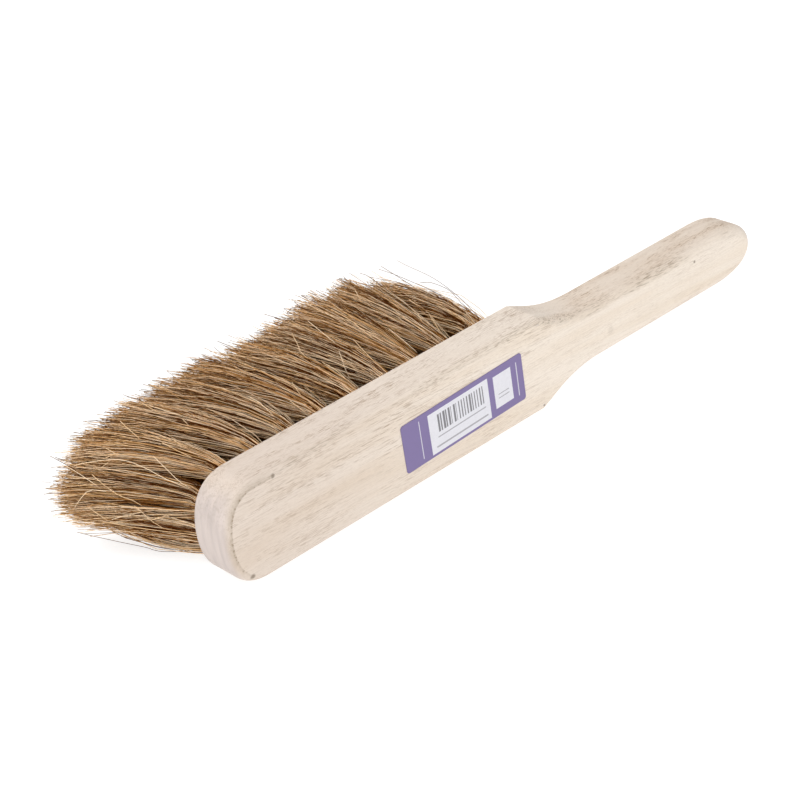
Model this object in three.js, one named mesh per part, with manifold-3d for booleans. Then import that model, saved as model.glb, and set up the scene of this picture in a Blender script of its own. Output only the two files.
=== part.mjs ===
// A wooden hand brush with coir bristles, lying on one long side as it is put down after use.
// X runs from the nose to the handle end, the bristles point to +Y and +Z is up.
// The origin is on the flat long side that it lies on, at the middle of the head.
import * as THREE from 'three';
import { mergeVertices } from 'three/addons/utils/BufferGeometryUtils.js';
import Module from 'manifold-3d';

// Driving dimensions in millimetres: the wooden stock
const TOTAL_LENGTH = 291;
const HEAD_LENGTH = 160;
const HEAD_WIDTH = 41.6;
const THICKNESS = 18;
const NOSE_RUN = 17;
const NOSE_FULLNESS = 11.5;
const NOSE_CORNER = 4.5;
const NECK_RUN = 34;
const SHOULDER_PULL = 7;
const SHOULDER_DROP = 2.4;
const NECK_PULL = 19;
const HANDLE_WIDTH = 25;
const END_RUN = 23;
const END_CORNER = 12;
const END_FULLNESS = 9;
const BACK_EDGE = { head: 3.5, handle: 5.2 };
const BRISTLE_EDGE = { head: 1.5, handle: 2.4 };
const BACK_EDGE_STEPS = 3;
const BRISTLE_EDGE_STEPS = 2;
const CURVE_STEPS = 8;

// The paper label on the back
const LABEL_LENGTH = 64.4;
const LABEL_WIDTH = 20.7;
const LABEL_THICKNESS = 0.15;
const LABEL_CORNER = 1.2;
const LABEL_CORNER_STEPS = 3;
const LABEL_FROM_NOSE = 117;
const LABEL_OFF_CENTRE = -0.8;
const LABEL_TURN = THREE.MathUtils.degToRad(2.2);
const GLUE = 0.1;

// Tuft holes: two outer rows, and two inner rows half a pitch nearer the nose
const CLEARANCE = 0.3;
const TUFT_PITCH = 15.6;
const ROW_PITCH = 9.6;
const OUTER_ROW = { count: 9, fromNose: 19 };
const INNER_ROW = { count: 10, fromNose: 11.2 };
const ROWS = [OUTER_ROW, INNER_ROW, INNER_ROW, OUTER_ROW];
const HOLE_RADIUS = 3.3;
const HOLE_DEPTH = 12;
const HOLE_SIDES = 12;

// Bristle rows: a slice of the backing, the folded roots and the strands
const SLICE_THICKNESS = 2;
const SLICE_HALF_WIDTH = 3.7;
const FOLD_HALF_WIDTH = 1.5;
const FOLD_OUTER = 2.7;
const FOLD_INNER = 0.8;
const FOLD_THICKNESS = 1.6;
const FOLD_DEPTH = 11.6;
const STRANDS_PER_TUFT = 8;
const STRAND_SIDES = 3;
const STRAND_LEVELS = [0, 0.16, 0.52, 1];
const STRAND_RADII = [0.55, 0.8, 0.95, 0.6];
const STRAND_ROOT = 1;
const STRAND_REACH = 56;
const REACH_SPREAD = 4;
const BASE_SPREAD = 2.6;
const FLARE_POWER = 0.7;
const TIP_SPREAD_ALONG = 0.43;
const TIP_SPREAD_ACROSS = 5.9;
const TIP_ROW_HEIGHTS = [8, 19.9, 31.8, 43.7];
const FRONT_LEAN = { tip: 22, fade: 45 };
const REAR_LEAN = { tip: 5, fade: 25 };
const LEAN_POWER = 1.25;
const STRAY = 1;
const GOLDEN_ANGLE = Math.PI * (3 - Math.sqrt(5));
const SCATTER_SEED = 11;
const GAP_SAMPLES = 16;

// Wire staples that hold the folds
const WIRE = 0.9;
const STAPLE_HALF_SPAN = 2.75;
const CROWN_DEPTH = 8.8;
const LEG_DEPTH = 15;

const NOSE_X = -HEAD_LENGTH / 2;
const END_X = NOSE_X + TOTAL_LENGTH;
const MID_Z = HEAD_WIDTH / 2;
const BACK_Y = -THICKNESS / 2;
const FACE_Y = THICKNESS / 2;

const wasm = await Module();
wasm.setup();

const finishes = {
  beech: new THREE.MeshStandardMaterial({ color: 0xe6d8c6, roughness: 0.75, metalness: 0 }),
  paper: new THREE.MeshStandardMaterial({ color: 0x8478ae, roughness: 0.5, metalness: 0 }),
  coir: new THREE.MeshStandardMaterial({ color: 0x9c7748, roughness: 0.8, metalness: 0 }),
  wire: new THREE.MeshStandardMaterial({ color: 0xb4b6b8, roughness: 0.35, metalness: 1 }),
};

const brush = new THREE.Group();

function addPiece(name, geometry, finish) {
  const mesh = new THREE.Mesh(geometry, finishes[finish]);
  mesh.name = name;
  brush.add(mesh);
  return mesh;
}

function toSolid(geometry) {
  const bare = geometry.clone();
  bare.deleteAttribute('normal');
  bare.deleteAttribute('uv');
  const merged = mergeVertices(bare, 1e-5);
  const vertProperties = new Float32Array(merged.attributes.position.array);
  const triVerts = new Uint32Array(merged.index.array);
  return new wasm.Manifold(new wasm.Mesh({ numProp: 3, vertProperties, triVerts }));
}

function toGeometry(solid) {
  const mesh = solid.getMesh();
  const geometry = new THREE.BufferGeometry();
  geometry.setAttribute('position', new THREE.BufferAttribute(mesh.vertProperties, 3));
  geometry.setIndex(new THREE.BufferAttribute(mesh.triVerts, 1));
  return geometry;
}

// A closed body through rings of equal length that follow one another in +Y, each turning from +X to +Z.
function loft(rings) {
  const sides = rings[0].length;
  const corners = rings.flat();
  const faces = [];
  for (let level = 0; level + 1 < rings.length; level += 1) {
    for (let side = 0; side < sides; side += 1) {
      const next = (side + 1) % sides;
      const a = level * sides + side;
      const b = level * sides + next;
      faces.push([a, a + sides, b], [b, a + sides, b + sides]);
    }
  }
  const last = corners.length - sides;
  const flat = (ring) => ring.map((point) => new THREE.Vector2(point.x, point.z));
  for (const [a, b, c] of THREE.ShapeUtils.triangulateShape(flat(rings[0]), [])) {
    faces.push([a, b, c]);
  }
  for (const [a, b, c] of THREE.ShapeUtils.triangulateShape(flat(rings.at(-1)), [])) {
    faces.push([last + c, last + b, last + a]);
  }
  const geometry = new THREE.BufferGeometry().setFromPoints(corners);
  geometry.setIndex(faces.flat());
  return geometry;
}

function boxBetween(low, high) {
  const size = new THREE.Vector3().subVectors(high, low);
  const middle = new THREE.Vector3().addVectors(low, high).multiplyScalar(0.5);
  return new THREE.BoxGeometry(size.x, size.y, size.z).translate(middle.x, middle.y, middle.z);
}

// Plan outline of the stock about its centre line, from the nose along the lower side and back.
function stockOutline() {
  const half = HEAD_WIDTH / 2;
  const grip = HANDLE_WIDTH / 2;
  const slope = half - SHOULDER_DROP;
  const shoulderX = NOSE_X + HEAD_LENGTH;
  const slopeX = shoulderX + SHOULDER_PULL;
  const neckX = shoulderX + NECK_RUN;
  const roundX = END_X - END_RUN;
  const shape = new THREE.Shape();
  shape.moveTo(NOSE_X, 0);
  shape.bezierCurveTo(NOSE_X, -NOSE_FULLNESS, NOSE_X + NOSE_CORNER, -half, NOSE_X + NOSE_RUN, -half);
  shape.lineTo(shoulderX, -half);
  shape.bezierCurveTo(slopeX, -slope, neckX - NECK_PULL, -grip, neckX, -grip);
  shape.lineTo(roundX, -grip);
  shape.bezierCurveTo(roundX + END_CORNER, -grip, END_X, -END_FULLNESS, END_X, 0);
  shape.bezierCurveTo(END_X, END_FULLNESS, roundX + END_CORNER, grip, roundX, grip);
  shape.lineTo(neckX, grip);
  shape.bezierCurveTo(neckX - NECK_PULL, grip, slopeX, slope, shoulderX, half);
  shape.lineTo(NOSE_X + NOSE_RUN, half);
  shape.bezierCurveTo(NOSE_X + NOSE_CORNER, half, NOSE_X, NOSE_FULLNESS, NOSE_X, 0);
  const points = shape.getPoints(CURVE_STEPS);
  points.pop();
  return points;
}

// The outline drawn in by inset, which is a function of x, at the depth y, also a function of x.
function outlineRing(outline, inset, depth) {
  return outline.map((point, index) => {
    const before = outline.at(index - 1);
    const after = outline[(index + 1) % outline.length];
    const along = new THREE.Vector2().subVectors(after, before).normalize();
    const moved = inset(point.x);
    return new THREE.Vector3(point.x - along.y * moved, depth(point.x), MID_Z + point.y + along.x * moved);
  });
}

// Edges are soft on the back, sharper on the bristle face, and rounder along the handle.
function stockBlank() {
  const outline = stockOutline();
  const shoulderX = NOSE_X + HEAD_LENGTH;
  const gripShare = (x) => THREE.MathUtils.smoothstep(x, shoulderX, shoulderX + NECK_RUN);
  const edge = (radius) => (x) => THREE.MathUtils.lerp(radius.head, radius.handle, gripShare(x));
  const backEdge = edge(BACK_EDGE);
  const faceEdge = edge(BRISTLE_EDGE);
  const rings = [];
  for (let step = 0; step <= BACK_EDGE_STEPS; step += 1) {
    const turn = (Math.PI / 2) * (step / BACK_EDGE_STEPS);
    const inset = (x) => backEdge(x) * (1 - Math.sin(turn));
    const depth = (x) => BACK_Y + backEdge(x) * (1 - Math.cos(turn));
    rings.push(outlineRing(outline, inset, depth));
  }
  for (let step = BRISTLE_EDGE_STEPS; step >= 0; step -= 1) {
    const turn = (Math.PI / 2) * (step / BRISTLE_EDGE_STEPS);
    const inset = (x) => faceEdge(x) * (1 - Math.sin(turn));
    const depth = (x) => FACE_Y - faceEdge(x) * (1 - Math.cos(turn));
    rings.push(outlineRing(outline, inset, depth));
  }
  return loft(rings);
}

// The label is a rounded slip of paper, glued on a little out of line.
function labelSlip() {
  const halfLength = LABEL_LENGTH / 2 - LABEL_CORNER;
  const halfWidth = LABEL_WIDTH / 2 - LABEL_CORNER;
  const shape = new THREE.Shape();
  shape.absarc(halfLength, halfWidth, LABEL_CORNER, 0, Math.PI / 2);
  shape.absarc(-halfLength, halfWidth, LABEL_CORNER, Math.PI / 2, Math.PI);
  shape.absarc(-halfLength, -halfWidth, LABEL_CORNER, Math.PI, 1.5 * Math.PI);
  shape.absarc(halfLength, -halfWidth, LABEL_CORNER, 1.5 * Math.PI, 2 * Math.PI);
  const options = { depth: LABEL_THICKNESS, bevelEnabled: false, curveSegments: LABEL_CORNER_STEPS };
  const slip = new THREE.ExtrudeGeometry(shape, options);
  return slip.rotateZ(LABEL_TURN).rotateX(Math.PI / 2);
}

// Tuft places on the bristle face, row by row from the lower side up.
function tuftRows() {
  const lowest = MID_Z - (ROW_PITCH * (ROWS.length - 1)) / 2;
  return ROWS.map(({ count, fromNose }, row) => {
    const z = lowest + row * ROW_PITCH;
    const places = [];
    for (let tuft = 0; tuft < count; tuft += 1) {
      places.push({ x: NOSE_X + fromNose + tuft * TUFT_PITCH, z, row });
    }
    return places;
  });
}

// The slice of backing under one row, or with a margin the groove that it is let into.
function backingSlice(places, margin) {
  const reach = SLICE_HALF_WIDTH + margin;
  const low = new THREE.Vector3(places[0].x - reach, FACE_Y - SLICE_THICKNESS - margin, places[0].z - reach);
  const high = new THREE.Vector3(places.at(-1).x + reach, FACE_Y + 2 * margin, places[0].z + reach);
  return boxBetween(low, high);
}

function tuftHole(place) {
  const hole = new THREE.CylinderGeometry(HOLE_RADIUS, HOLE_RADIUS, HOLE_DEPTH, HOLE_SIDES);
  return hole.translate(place.x, FACE_Y - HOLE_DEPTH / 2, place.z);
}

// The wire's U, thickened by margin where it is the room that it takes up.
function stapleShape(margin) {
  const outer = STAPLE_HALF_SPAN + margin;
  const inner = STAPLE_HALF_SPAN - WIRE - margin;
  const crown = FACE_Y - CROWN_DEPTH + margin;
  const under = FACE_Y - CROWN_DEPTH - WIRE - margin;
  const toes = FACE_Y - LEG_DEPTH - margin;
  const shape = new THREE.Shape();
  shape.moveTo(-outer, toes);
  shape.lineTo(-inner, toes);
  shape.lineTo(-inner, under);
  shape.lineTo(inner, under);
  shape.lineTo(inner, toes);
  shape.lineTo(outer, toes);
  shape.lineTo(outer, crown);
  shape.lineTo(-outer, crown);
  return shape;
}

function staple(place, margin) {
  const depth = WIRE + 2 * margin;
  const wire = new THREE.ExtrudeGeometry(stapleShape(margin), { depth, bevelEnabled: false });
  return wire.translate(place.x, 0, place.z - depth / 2);
}

// Both halves of a tuft go down its hole and join under the staple's crown.
function foldedRoot(place) {
  const top = FACE_Y - SLICE_THICKNESS / 2;
  const bottom = FACE_Y - FOLD_DEPTH;
  const shape = new THREE.Shape();
  shape.moveTo(-FOLD_OUTER, bottom);
  shape.lineTo(FOLD_OUTER, bottom);
  shape.lineTo(FOLD_OUTER, top);
  shape.lineTo(FOLD_INNER, top);
  shape.lineTo(FOLD_INNER, bottom + FOLD_THICKNESS);
  shape.lineTo(-FOLD_INNER, bottom + FOLD_THICKNESS);
  shape.lineTo(-FOLD_INNER, top);
  shape.lineTo(-FOLD_OUTER, top);
  const fold = new THREE.ExtrudeGeometry(shape, { depth: 2 * FOLD_HALF_WIDTH, bevelEnabled: false });
  return fold.rotateY(Math.PI / 2).translate(place.x - FOLD_HALF_WIDTH, 0, place.z);
}

// A random number from -0.5 to 0.5, drawn in the same order on every run.
function scatter() {
  return THREE.MathUtils.seededRandom() - 0.5;
}

// How far the tips lean towards the handle: forward at the nose, and a little back at the last tufts.
function tipLean(x) {
  const first = NOSE_X + INNER_ROW.fromNose;
  const last = first + (INNER_ROW.count - 1) * TUFT_PITCH;
  const forward = FRONT_LEAN.tip * Math.exp((first - x) / FRONT_LEAN.fade);
  const backward = REAR_LEAN.tip * Math.exp((x - last) / REAR_LEAN.fade);
  return backward - forward;
}

// The centre line of one strand as a function of its level, 0 at the bristle face and 1 at the tip.
function strandLine(place, strand) {
  const turn = strand * GOLDEN_ANGLE + place.x + place.row;
  const share = Math.sqrt((strand + 0.5) / STRANDS_PER_TUFT);
  const along = share * Math.cos(turn);
  const across = share * Math.sin(turn);
  const tipPitch = TUFT_PITCH + tipLean(place.x + TUFT_PITCH / 2) - tipLean(place.x - TUFT_PITCH / 2);
  const reach = STRAND_REACH + REACH_SPREAD * scatter();
  const strayAlong = STRAY * scatter();
  const strayAcross = STRAY * scatter();
  return (level) => {
    const flare = level ** FLARE_POWER;
    const spreadAlong = THREE.MathUtils.lerp(BASE_SPREAD, TIP_SPREAD_ALONG * tipPitch, flare);
    const spreadAcross = THREE.MathUtils.lerp(BASE_SPREAD, TIP_SPREAD_ACROSS, flare);
    const x = place.x + tipLean(place.x) * level ** LEAN_POWER + along * spreadAlong + strayAlong * level;
    const z = THREE.MathUtils.lerp(place.z, TIP_ROW_HEIGHTS[place.row], level);
    return new THREE.Vector3(x, FACE_Y + reach * level, z + across * spreadAcross + strayAcross * level);
  };
}

// The strand's radius at a level, straight between the levels that have a ring.
function strandRadius(level) {
  const above = Math.max(1, STRAND_LEVELS.findIndex((ring) => ring >= level));
  const share = THREE.MathUtils.inverseLerp(STRAND_LEVELS[above - 1], STRAND_LEVELS[above], level);
  return THREE.MathUtils.lerp(STRAND_RADII[above - 1], STRAND_RADII[above], share);
}

function strandBody(line, turn) {
  const rings = STRAND_LEVELS.map((level, index) => {
    const centre = line(level);
    const radius = STRAND_RADII[index];
    const drop = level === 0 ? STRAND_ROOT : 0;
    const ring = [];
    for (let side = 0; side < STRAND_SIDES; side += 1) {
      const angle = turn + (side / STRAND_SIDES) * 2 * Math.PI;
      ring.push(new THREE.Vector3(
        centre.x + radius * Math.cos(angle),
        centre.y - drop,
        centre.z + radius * Math.sin(angle),
      ));
    }
    return ring;
  });
  return loft(rings);
}

// The least clear gap between any two strands, measured on points along their centre lines.
function leastStrandGap(lines) {
  const sampled = lines.map((line) => {
    const points = [];
    for (let step = 0; step <= GAP_SAMPLES; step += 1) {
      const level = step / GAP_SAMPLES;
      points.push({ at: line(level), radius: strandRadius(level) });
    }
    return points;
  });
  let least = Infinity;
  sampled.forEach((points, index) => {
    for (const other of sampled.slice(index + 1)) {
      for (const p of points) {
        for (const q of other) {
          least = Math.min(least, p.at.distanceTo(q.at) - p.radius - q.radius);
        }
      }
    }
  });
  return least;
}

const rows = tuftRows();
const tufts = rows.flat();

// The stock is bored for every tuft, with room for the staple's legs beyond the bottom of the hole.
let stock = toSolid(stockBlank());
for (const places of rows) {
  stock = stock.subtract(toSolid(backingSlice(places, CLEARANCE)));
}
for (const place of tufts) {
  stock = stock.subtract(toSolid(tuftHole(place)).add(toSolid(staple(place, CLEARANCE))));
}
addPiece('wooden_stock', toGeometry(stock), 'beech');

const label = addPiece('paper_label', labelSlip(), 'paper');
label.position.set(NOSE_X + LABEL_FROM_NOSE, BACK_Y - GLUE, MID_Z + LABEL_OFF_CENTRE);

// Each row is one body: its slice of backing, the folded roots below it and the strands above it.
THREE.MathUtils.seededRandom(SCATTER_SEED);
const strandLines = [];
rows.forEach((places, row) => {
  let body = toSolid(backingSlice(places, 0));
  for (const place of places) {
    body = body.add(toSolid(foldedRoot(place)));
    for (let strand = 0; strand < STRANDS_PER_TUFT; strand += 1) {
      const line = strandLine(place, strand);
      strandLines.push(line);
      body = body.add(toSolid(strandBody(line, strand)));
    }
  }
  addPiece(`bristle_row_${row + 1}`, toGeometry(body), 'coir');
});

tufts.forEach((place, index) => {
  addPiece(`tuft_staple_${String(index + 1).padStart(2, '0')}`, staple(place, 0), 'wire');
});

console.log(`${strandLines.length} strands, least gap ${leastStrandGap(strandLines).toFixed(2)} mm`);

export default brush;
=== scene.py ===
"""A wooden hand brush with coir bristles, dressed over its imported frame.

X runs from the nose to the handle end, the bristles point to +Y and +Z is up. Sizes in the
classes are in millimetres, and the meshes are in metres.
"""
import logging
import math
from dataclasses import dataclass
from enum import Enum
from typing import Any, Callable, ClassVar, Optional, Sequence, Union

import bpy
from mathutils import Matrix, Vector
from mathutils.bvhtree import BVHTree


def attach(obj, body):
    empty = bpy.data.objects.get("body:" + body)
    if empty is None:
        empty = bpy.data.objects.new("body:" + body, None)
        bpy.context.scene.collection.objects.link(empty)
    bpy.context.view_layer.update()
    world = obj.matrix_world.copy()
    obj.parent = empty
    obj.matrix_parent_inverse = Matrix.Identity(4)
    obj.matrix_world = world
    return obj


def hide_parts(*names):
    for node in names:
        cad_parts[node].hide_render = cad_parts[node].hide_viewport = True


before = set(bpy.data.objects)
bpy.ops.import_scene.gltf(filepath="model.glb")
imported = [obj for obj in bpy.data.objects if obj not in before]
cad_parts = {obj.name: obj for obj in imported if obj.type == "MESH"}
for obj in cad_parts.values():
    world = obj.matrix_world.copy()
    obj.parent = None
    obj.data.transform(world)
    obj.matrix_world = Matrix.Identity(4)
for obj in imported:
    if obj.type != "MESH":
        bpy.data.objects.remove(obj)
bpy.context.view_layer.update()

LOG = logging.getLogger("hand_brush")
MM = 0.001
BODY = "root"

Point = tuple[float, float]
Place = tuple[float, float, float]
Colour = tuple[float, float, float, float]
Term = Union["Value", float, int]


class Slot(Enum):
    """The record's material slots."""

    BEECH = "beech"
    PAPER = "label_paper"
    COIR = "coir"
    WIRE = "staple_wire"


def shade(red: float, green: float, blue: float) -> Colour:
    """Turns a screen colour into the linear colour that shaders use.

    Args:
        red: Red from 0 to 255.
        green: Green from 0 to 255.
        blue: Blue from 0 to 255.

    Returns:
        The linear colour with full alpha.
    """
    parts = [value / 255 for value in (red, green, blue)]
    linear = [p / 12.92 if p <= 0.04045 else ((p + 0.055) / 1.055) ** 2.4 for p in parts]
    return (linear[0], linear[1], linear[2], 1.0)


def operator(operation: str, swapped: bool = False) -> Callable[["Value", Term], "Value"]:
    """Makes a Python operator of a Math operation.

    Args:
        operation: The operation's Blender name.
        swapped: Whether the other term comes first.

    Returns:
        The operator's method.
    """

    def method(self: "Value", other: Term) -> "Value":
        """Adds the Math node."""
        terms = (other, self) if swapped else (self, other)
        return self.graph.math(operation, *terms)

    return method


class Value:
    """A node's output that takes part in Python arithmetic. Comparing gives 1 or 0."""

    __add__ = operator("ADD")
    __radd__ = operator("ADD", swapped=True)
    __sub__ = operator("SUBTRACT")
    __rsub__ = operator("SUBTRACT", swapped=True)
    __mul__ = operator("MULTIPLY")
    __rmul__ = operator("MULTIPLY", swapped=True)
    __truediv__ = operator("DIVIDE")
    __rtruediv__ = operator("DIVIDE", swapped=True)
    __pow__ = operator("POWER")
    __rpow__ = operator("POWER", swapped=True)
    __gt__ = operator("GREATER_THAN")
    __lt__ = operator("LESS_THAN")

    def __init__(self, graph: "NodeGraph", socket: bpy.types.NodeSocket) -> None:
        """Keeps the output and the graph that it belongs to."""
        self.graph = graph
        self.socket = socket

    def apply(self, operation: str, *others: Term) -> "Value":
        """Applies any other Math operation by its Blender name."""
        return self.graph.math(operation, self, *others)

    def between(self, low: Term, high: Term) -> "Value":
        """Gives 1 inside a range and 0 outside it."""
        return (self > low) * (self < high)

    def eased(self, low: Term, high: Term) -> "Value":
        """Rises smoothly from 0 at low to 1 at high."""
        sockets = {0: self, 1: low, 2: high, 3: 0.0, 4: 1.0}
        return self.graph.value("ShaderNodeMapRange", {"interpolation_type": "SMOOTHSTEP"}, sockets)


class NodeGraph:
    """Adds nodes to one node tree."""

    def __init__(self, tree: bpy.types.NodeTree) -> None:
        """Keeps the tree."""
        self.tree = tree

    def node(
        self,
        kind: str,
        settings: Optional[dict[str, Any]] = None,
        sockets: Optional[dict[Union[str, int], Any]] = None,
    ) -> bpy.types.Node:
        """Adds a node, sets its options and then its inputs.

        Args:
            kind: The node's Blender type.
            settings: Options by name; "stops" holds a ramp's positions and colours.
            sockets: Values or outputs for the inputs, by name or number.

        Returns:
            The new node.
        """
        made = self.tree.nodes.new(kind)
        for name, setting in (settings or {}).items():
            if name == "stops":
                self._fill_ramp(made.color_ramp, setting)
            else:
                setattr(made, name, setting)
        for name, given in (sockets or {}).items():
            if isinstance(given, Value):
                self.tree.links.new(given.socket, made.inputs[name])
            else:
                made.inputs[name].default_value = given
        return made

    @staticmethod
    def _fill_ramp(ramp: bpy.types.ColorRamp, stops: Sequence[tuple[float, Colour]]) -> None:
        """Sets a ramp's stops from positions and colours.

        Args:
            ramp: The ramp to fill.
            stops: Pairs of a position and a colour, in order.
        """
        while len(ramp.elements) < len(stops):
            ramp.elements.new(1.0)
        for element, (position, colour) in zip(ramp.elements, stops):
            element.position = position
            element.color = colour

    def value(
        self,
        kind: str,
        settings: Optional[dict[str, Any]] = None,
        sockets: Optional[dict[Union[str, int], Any]] = None,
        output: Union[str, int] = 0,
    ) -> Value:
        """Adds a node as node does, and gives one of its outputs by name or number."""
        return Value(self, self.node(kind, settings, sockets).outputs[output])

    def math(self, operation: str, *terms: Term) -> Value:
        """Adds a Math node that works on numbers and outputs, in order."""
        return self.value("ShaderNodeMath", {"operation": operation}, dict(enumerate(terms)))

    def mix(self, share: Term, first: Any, second: Any, blend: str = "MIX") -> Value:
        """Mixes two colours, by the share of the second and the blend's Blender name."""
        settings = {"data_type": "RGBA", "blend_type": blend}
        return self.value("ShaderNodeMix", settings, {0: share, 6: first, 7: second}, output=2)

    def split(self, vector: Value) -> tuple[Value, Value, Value]:
        """Gives a vector's three parts."""
        parts = self.node("ShaderNodeSeparateXYZ", None, {0: vector}).outputs
        return Value(self, parts[0]), Value(self, parts[1]), Value(self, parts[2])

    def join(self, x: Term, y: Term, z: Term) -> Value:
        """Makes a vector of three parts."""
        return self.value("ShaderNodeCombineXYZ", None, {0: x, 1: y, 2: z})

    def noise(self, vector: Value, detail: float = 2.0, output: str = "Fac") -> Value:
        """Gives a noise around 0.5 and of unit scale, as one number or, by "Color", as three."""
        sockets = {"Vector": vector, "Scale": 1.0, "Detail": detail}
        return self.value("ShaderNodeTexNoise", None, sockets, output)


class MaterialGraph(NodeGraph):
    """The nodes of one material, around a Principled shader."""

    def __init__(self, name: str, **constants: Any) -> None:
        """Starts the material.

        Args:
            name: The material's name.
            **constants: Shader values that are the same all over, with _ for a space.
        """
        self.material = bpy.data.materials.new(name)
        self.material.use_nodes = True
        super().__init__(self.material.node_tree)
        self.tree.nodes.clear()
        self.shader = self.node("ShaderNodeBsdfPrincipled")
        output = self.node("ShaderNodeOutputMaterial")
        self.tree.links.new(self.shader.outputs[0], output.inputs[0])
        for key, constant in constants.items():
            self.shader.inputs[key.replace("_", " ")].default_value = constant

    def feed(self, name: str, value: Value) -> None:
        """Links an output to one of the shader's inputs."""
        self.tree.links.new(value.socket, self.shader.inputs[name])

    def bump(self, height: Value, distance: float, strength: float = 1.0) -> None:
        """Raises the surface by a height that varies, in metres at a height of 1."""
        sockets = {"Strength": strength, "Distance": distance, "Height": height}
        self.feed("Normal", self.value("ShaderNodeBump", None, sockets))

    def place(self) -> Value:
        """Gives the Object coordinates."""
        return self.value("ShaderNodeTexCoord", output="Object")

    def attribute(self, name: str) -> Value:
        """Gives a number that the mesh holds."""
        return self.value("ShaderNodeAttribute", {"attribute_name": name}, output="Fac")

    def stretched(self, vector: Value, scale: Sequence[float], turn: float = 0.0) -> Value:
        """Fits coordinates to a pattern's size in metres, turned about Y by some radians."""
        sockets = {"Vector": vector, "Scale": scale, "Rotation": (0.0, turn, 0.0)}
        return self.value("ShaderNodeMapping", {"vector_type": "TEXTURE"}, sockets)


class Draw(Enum):
    """What a random number is for, which tells one draw from another."""

    ROOT_ANGLE = 1
    ROOT_RADIUS = 2
    FREE_ANGLE = 3
    FREE_RADIUS = 4
    STRAY = 5
    FLOOR_LAYER = 6
    LENGTH = 7
    UNRULY = 8
    LOCK = 9
    LOCK_ALONG = 11
    TUFT_ALONG = 12
    LOCK_UP = 13
    TUFT_UP = 14
    LOCK_LENGTH = 15
    TONE = 21
    LOCK_TONE = 22
    STOUTNESS = 23
    STRAY_TONE = 24


class GeometryTree(NodeGraph):
    """A Geometry Nodes tree with named inputs for its sizes."""

    KINDS = {int: "NodeSocketInt", float: "NodeSocketFloat", tuple: "NodeSocketVector"}

    def __init__(self, name: str, sizes: dict[str, Any]) -> None:
        """Starts the tree.

        Args:
            name: The tree's name.
            sizes: Its inputs by name, each a whole number, a length or a vector.
        """
        super().__init__(bpy.data.node_groups.new(name, "GeometryNodeTree"))
        interface = self.tree.interface
        interface.new_socket("Geometry", in_out="INPUT", socket_type="NodeSocketGeometry")
        self.identifiers = {
            key: interface.new_socket(
                key, in_out="INPUT", socket_type=self.KINDS[type(size)]
            ).identifier
            for key, size in sizes.items()
        }
        interface.new_socket("Geometry", in_out="OUTPUT", socket_type="NodeSocketGeometry")
        self.entry = self.node("NodeGroupInput")

    def __getitem__(self, name: str) -> Value:
        """Gives one of the tree's inputs by its name."""
        return Value(self, self.entry.outputs[name])

    def chance(self, owner: Value, draw: Draw) -> Value:
        """Gives each owner, named by a whole number, a fixed random number from 0 to 1."""
        sockets = {2: 0.0, 3: 1.0, 7: owner, 8: self["seed"] + draw.value}
        return self.value("FunctionNodeRandomValue", {"data_type": "FLOAT"}, sockets, output=1)

    def line(self, count: Value, start: Value, pitch: Value) -> Value:
        """Lays a row of points along X."""
        sockets = {"Count": count, "Start Location": start, "Offset": self.join(pitch, 0.0, 0.0)}
        return self.value("GeometryNodeMeshLine", {"mode": "OFFSET"}, sockets)

    def copies(self, points: Value, count: Value) -> tuple[Value, Value]:
        """Repeats each point.

        Args:
            points: The points.
            count: How many there are to be of each.

        Returns:
            All the points, and each copy's number.
        """
        sockets = {"Geometry": points, "Amount": count}
        made = self.node("GeometryNodeDuplicateElements", {"domain": "POINT"}, sockets).outputs
        return Value(self, made[0]), Value(self, made[1])

    def swept(self, curves: Value, sides: int, radius: Value) -> Value:
        """Gives curves a thickness and closed ends.

        Args:
            curves: The curves.
            sides: How many sides the section has.
            radius: The section's radius in metres.

        Returns:
            The mesh.
        """
        circle = {"Resolution": sides, "Radius": 1.0}
        ring = self.value("GeometryNodeCurvePrimitiveCircle", {"mode": "RADIUS"}, circle)
        sockets = {"Curve": curves, "Profile Curve": ring, "Scale": radius, "Fill Caps": True}
        return self.value("GeometryNodeCurveToMesh", None, sockets)

    def store(self, geometry: Value, name: str, value: Value, kind: str = "FLOAT") -> Value:
        """Stores a value on the geometry's points.

        Args:
            geometry: The geometry.
            name: The attribute's name.
            value: The value at each point.
            kind: The value's Blender type.

        Returns:
            The geometry with the attribute.
        """
        sockets = {"Geometry": geometry, "Name": name, "Value": value}
        settings = {"data_type": kind, "domain": "POINT"}
        return self.value("GeometryNodeStoreNamedAttribute", settings, sockets)

    def stored(self, name: str, kind: str = "FLOAT") -> Value:
        """Reads a stored value back."""
        return self.value("GeometryNodeInputNamedAttribute", {"data_type": kind}, {"Name": name})

    def end(self, geometry: Value, material: bpy.types.Material) -> None:
        """Ends the tree: real meshes, smooth faces and one material.

        Args:
            geometry: What the tree made.
            material: The material of all of it.
        """
        real = self.value("GeometryNodeRealizeInstances", None, {0: geometry})
        smooth = self.value("GeometryNodeSetShadeSmooth", None, {0: real})
        dressed = self.value("GeometryNodeSetMaterial", None, {0: smooth, 2: material})
        self.node("NodeGroupOutput", None, {0: dressed})

    def grow(self, name: str, sizes: dict[str, Any], start: bpy.types.Mesh) -> bpy.types.Mesh:
        """Runs the tree once and keeps the result as a plain mesh.

        Args:
            name: The new mesh's name.
            sizes: Values for the tree's inputs.
            start: The mesh that the tree starts from.

        Returns:
            The plain mesh.
        """
        host = bpy.data.objects.new(name + "_host", start)
        bpy.context.scene.collection.objects.link(host)
        modifier = host.modifiers.new("grow", "NODES")
        modifier.node_group = self.tree
        for key, size in sizes.items():
            modifier[self.identifiers[key]] = size
        mesh = plain_mesh(host, name)
        bpy.data.objects.remove(host)
        return mesh


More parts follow.
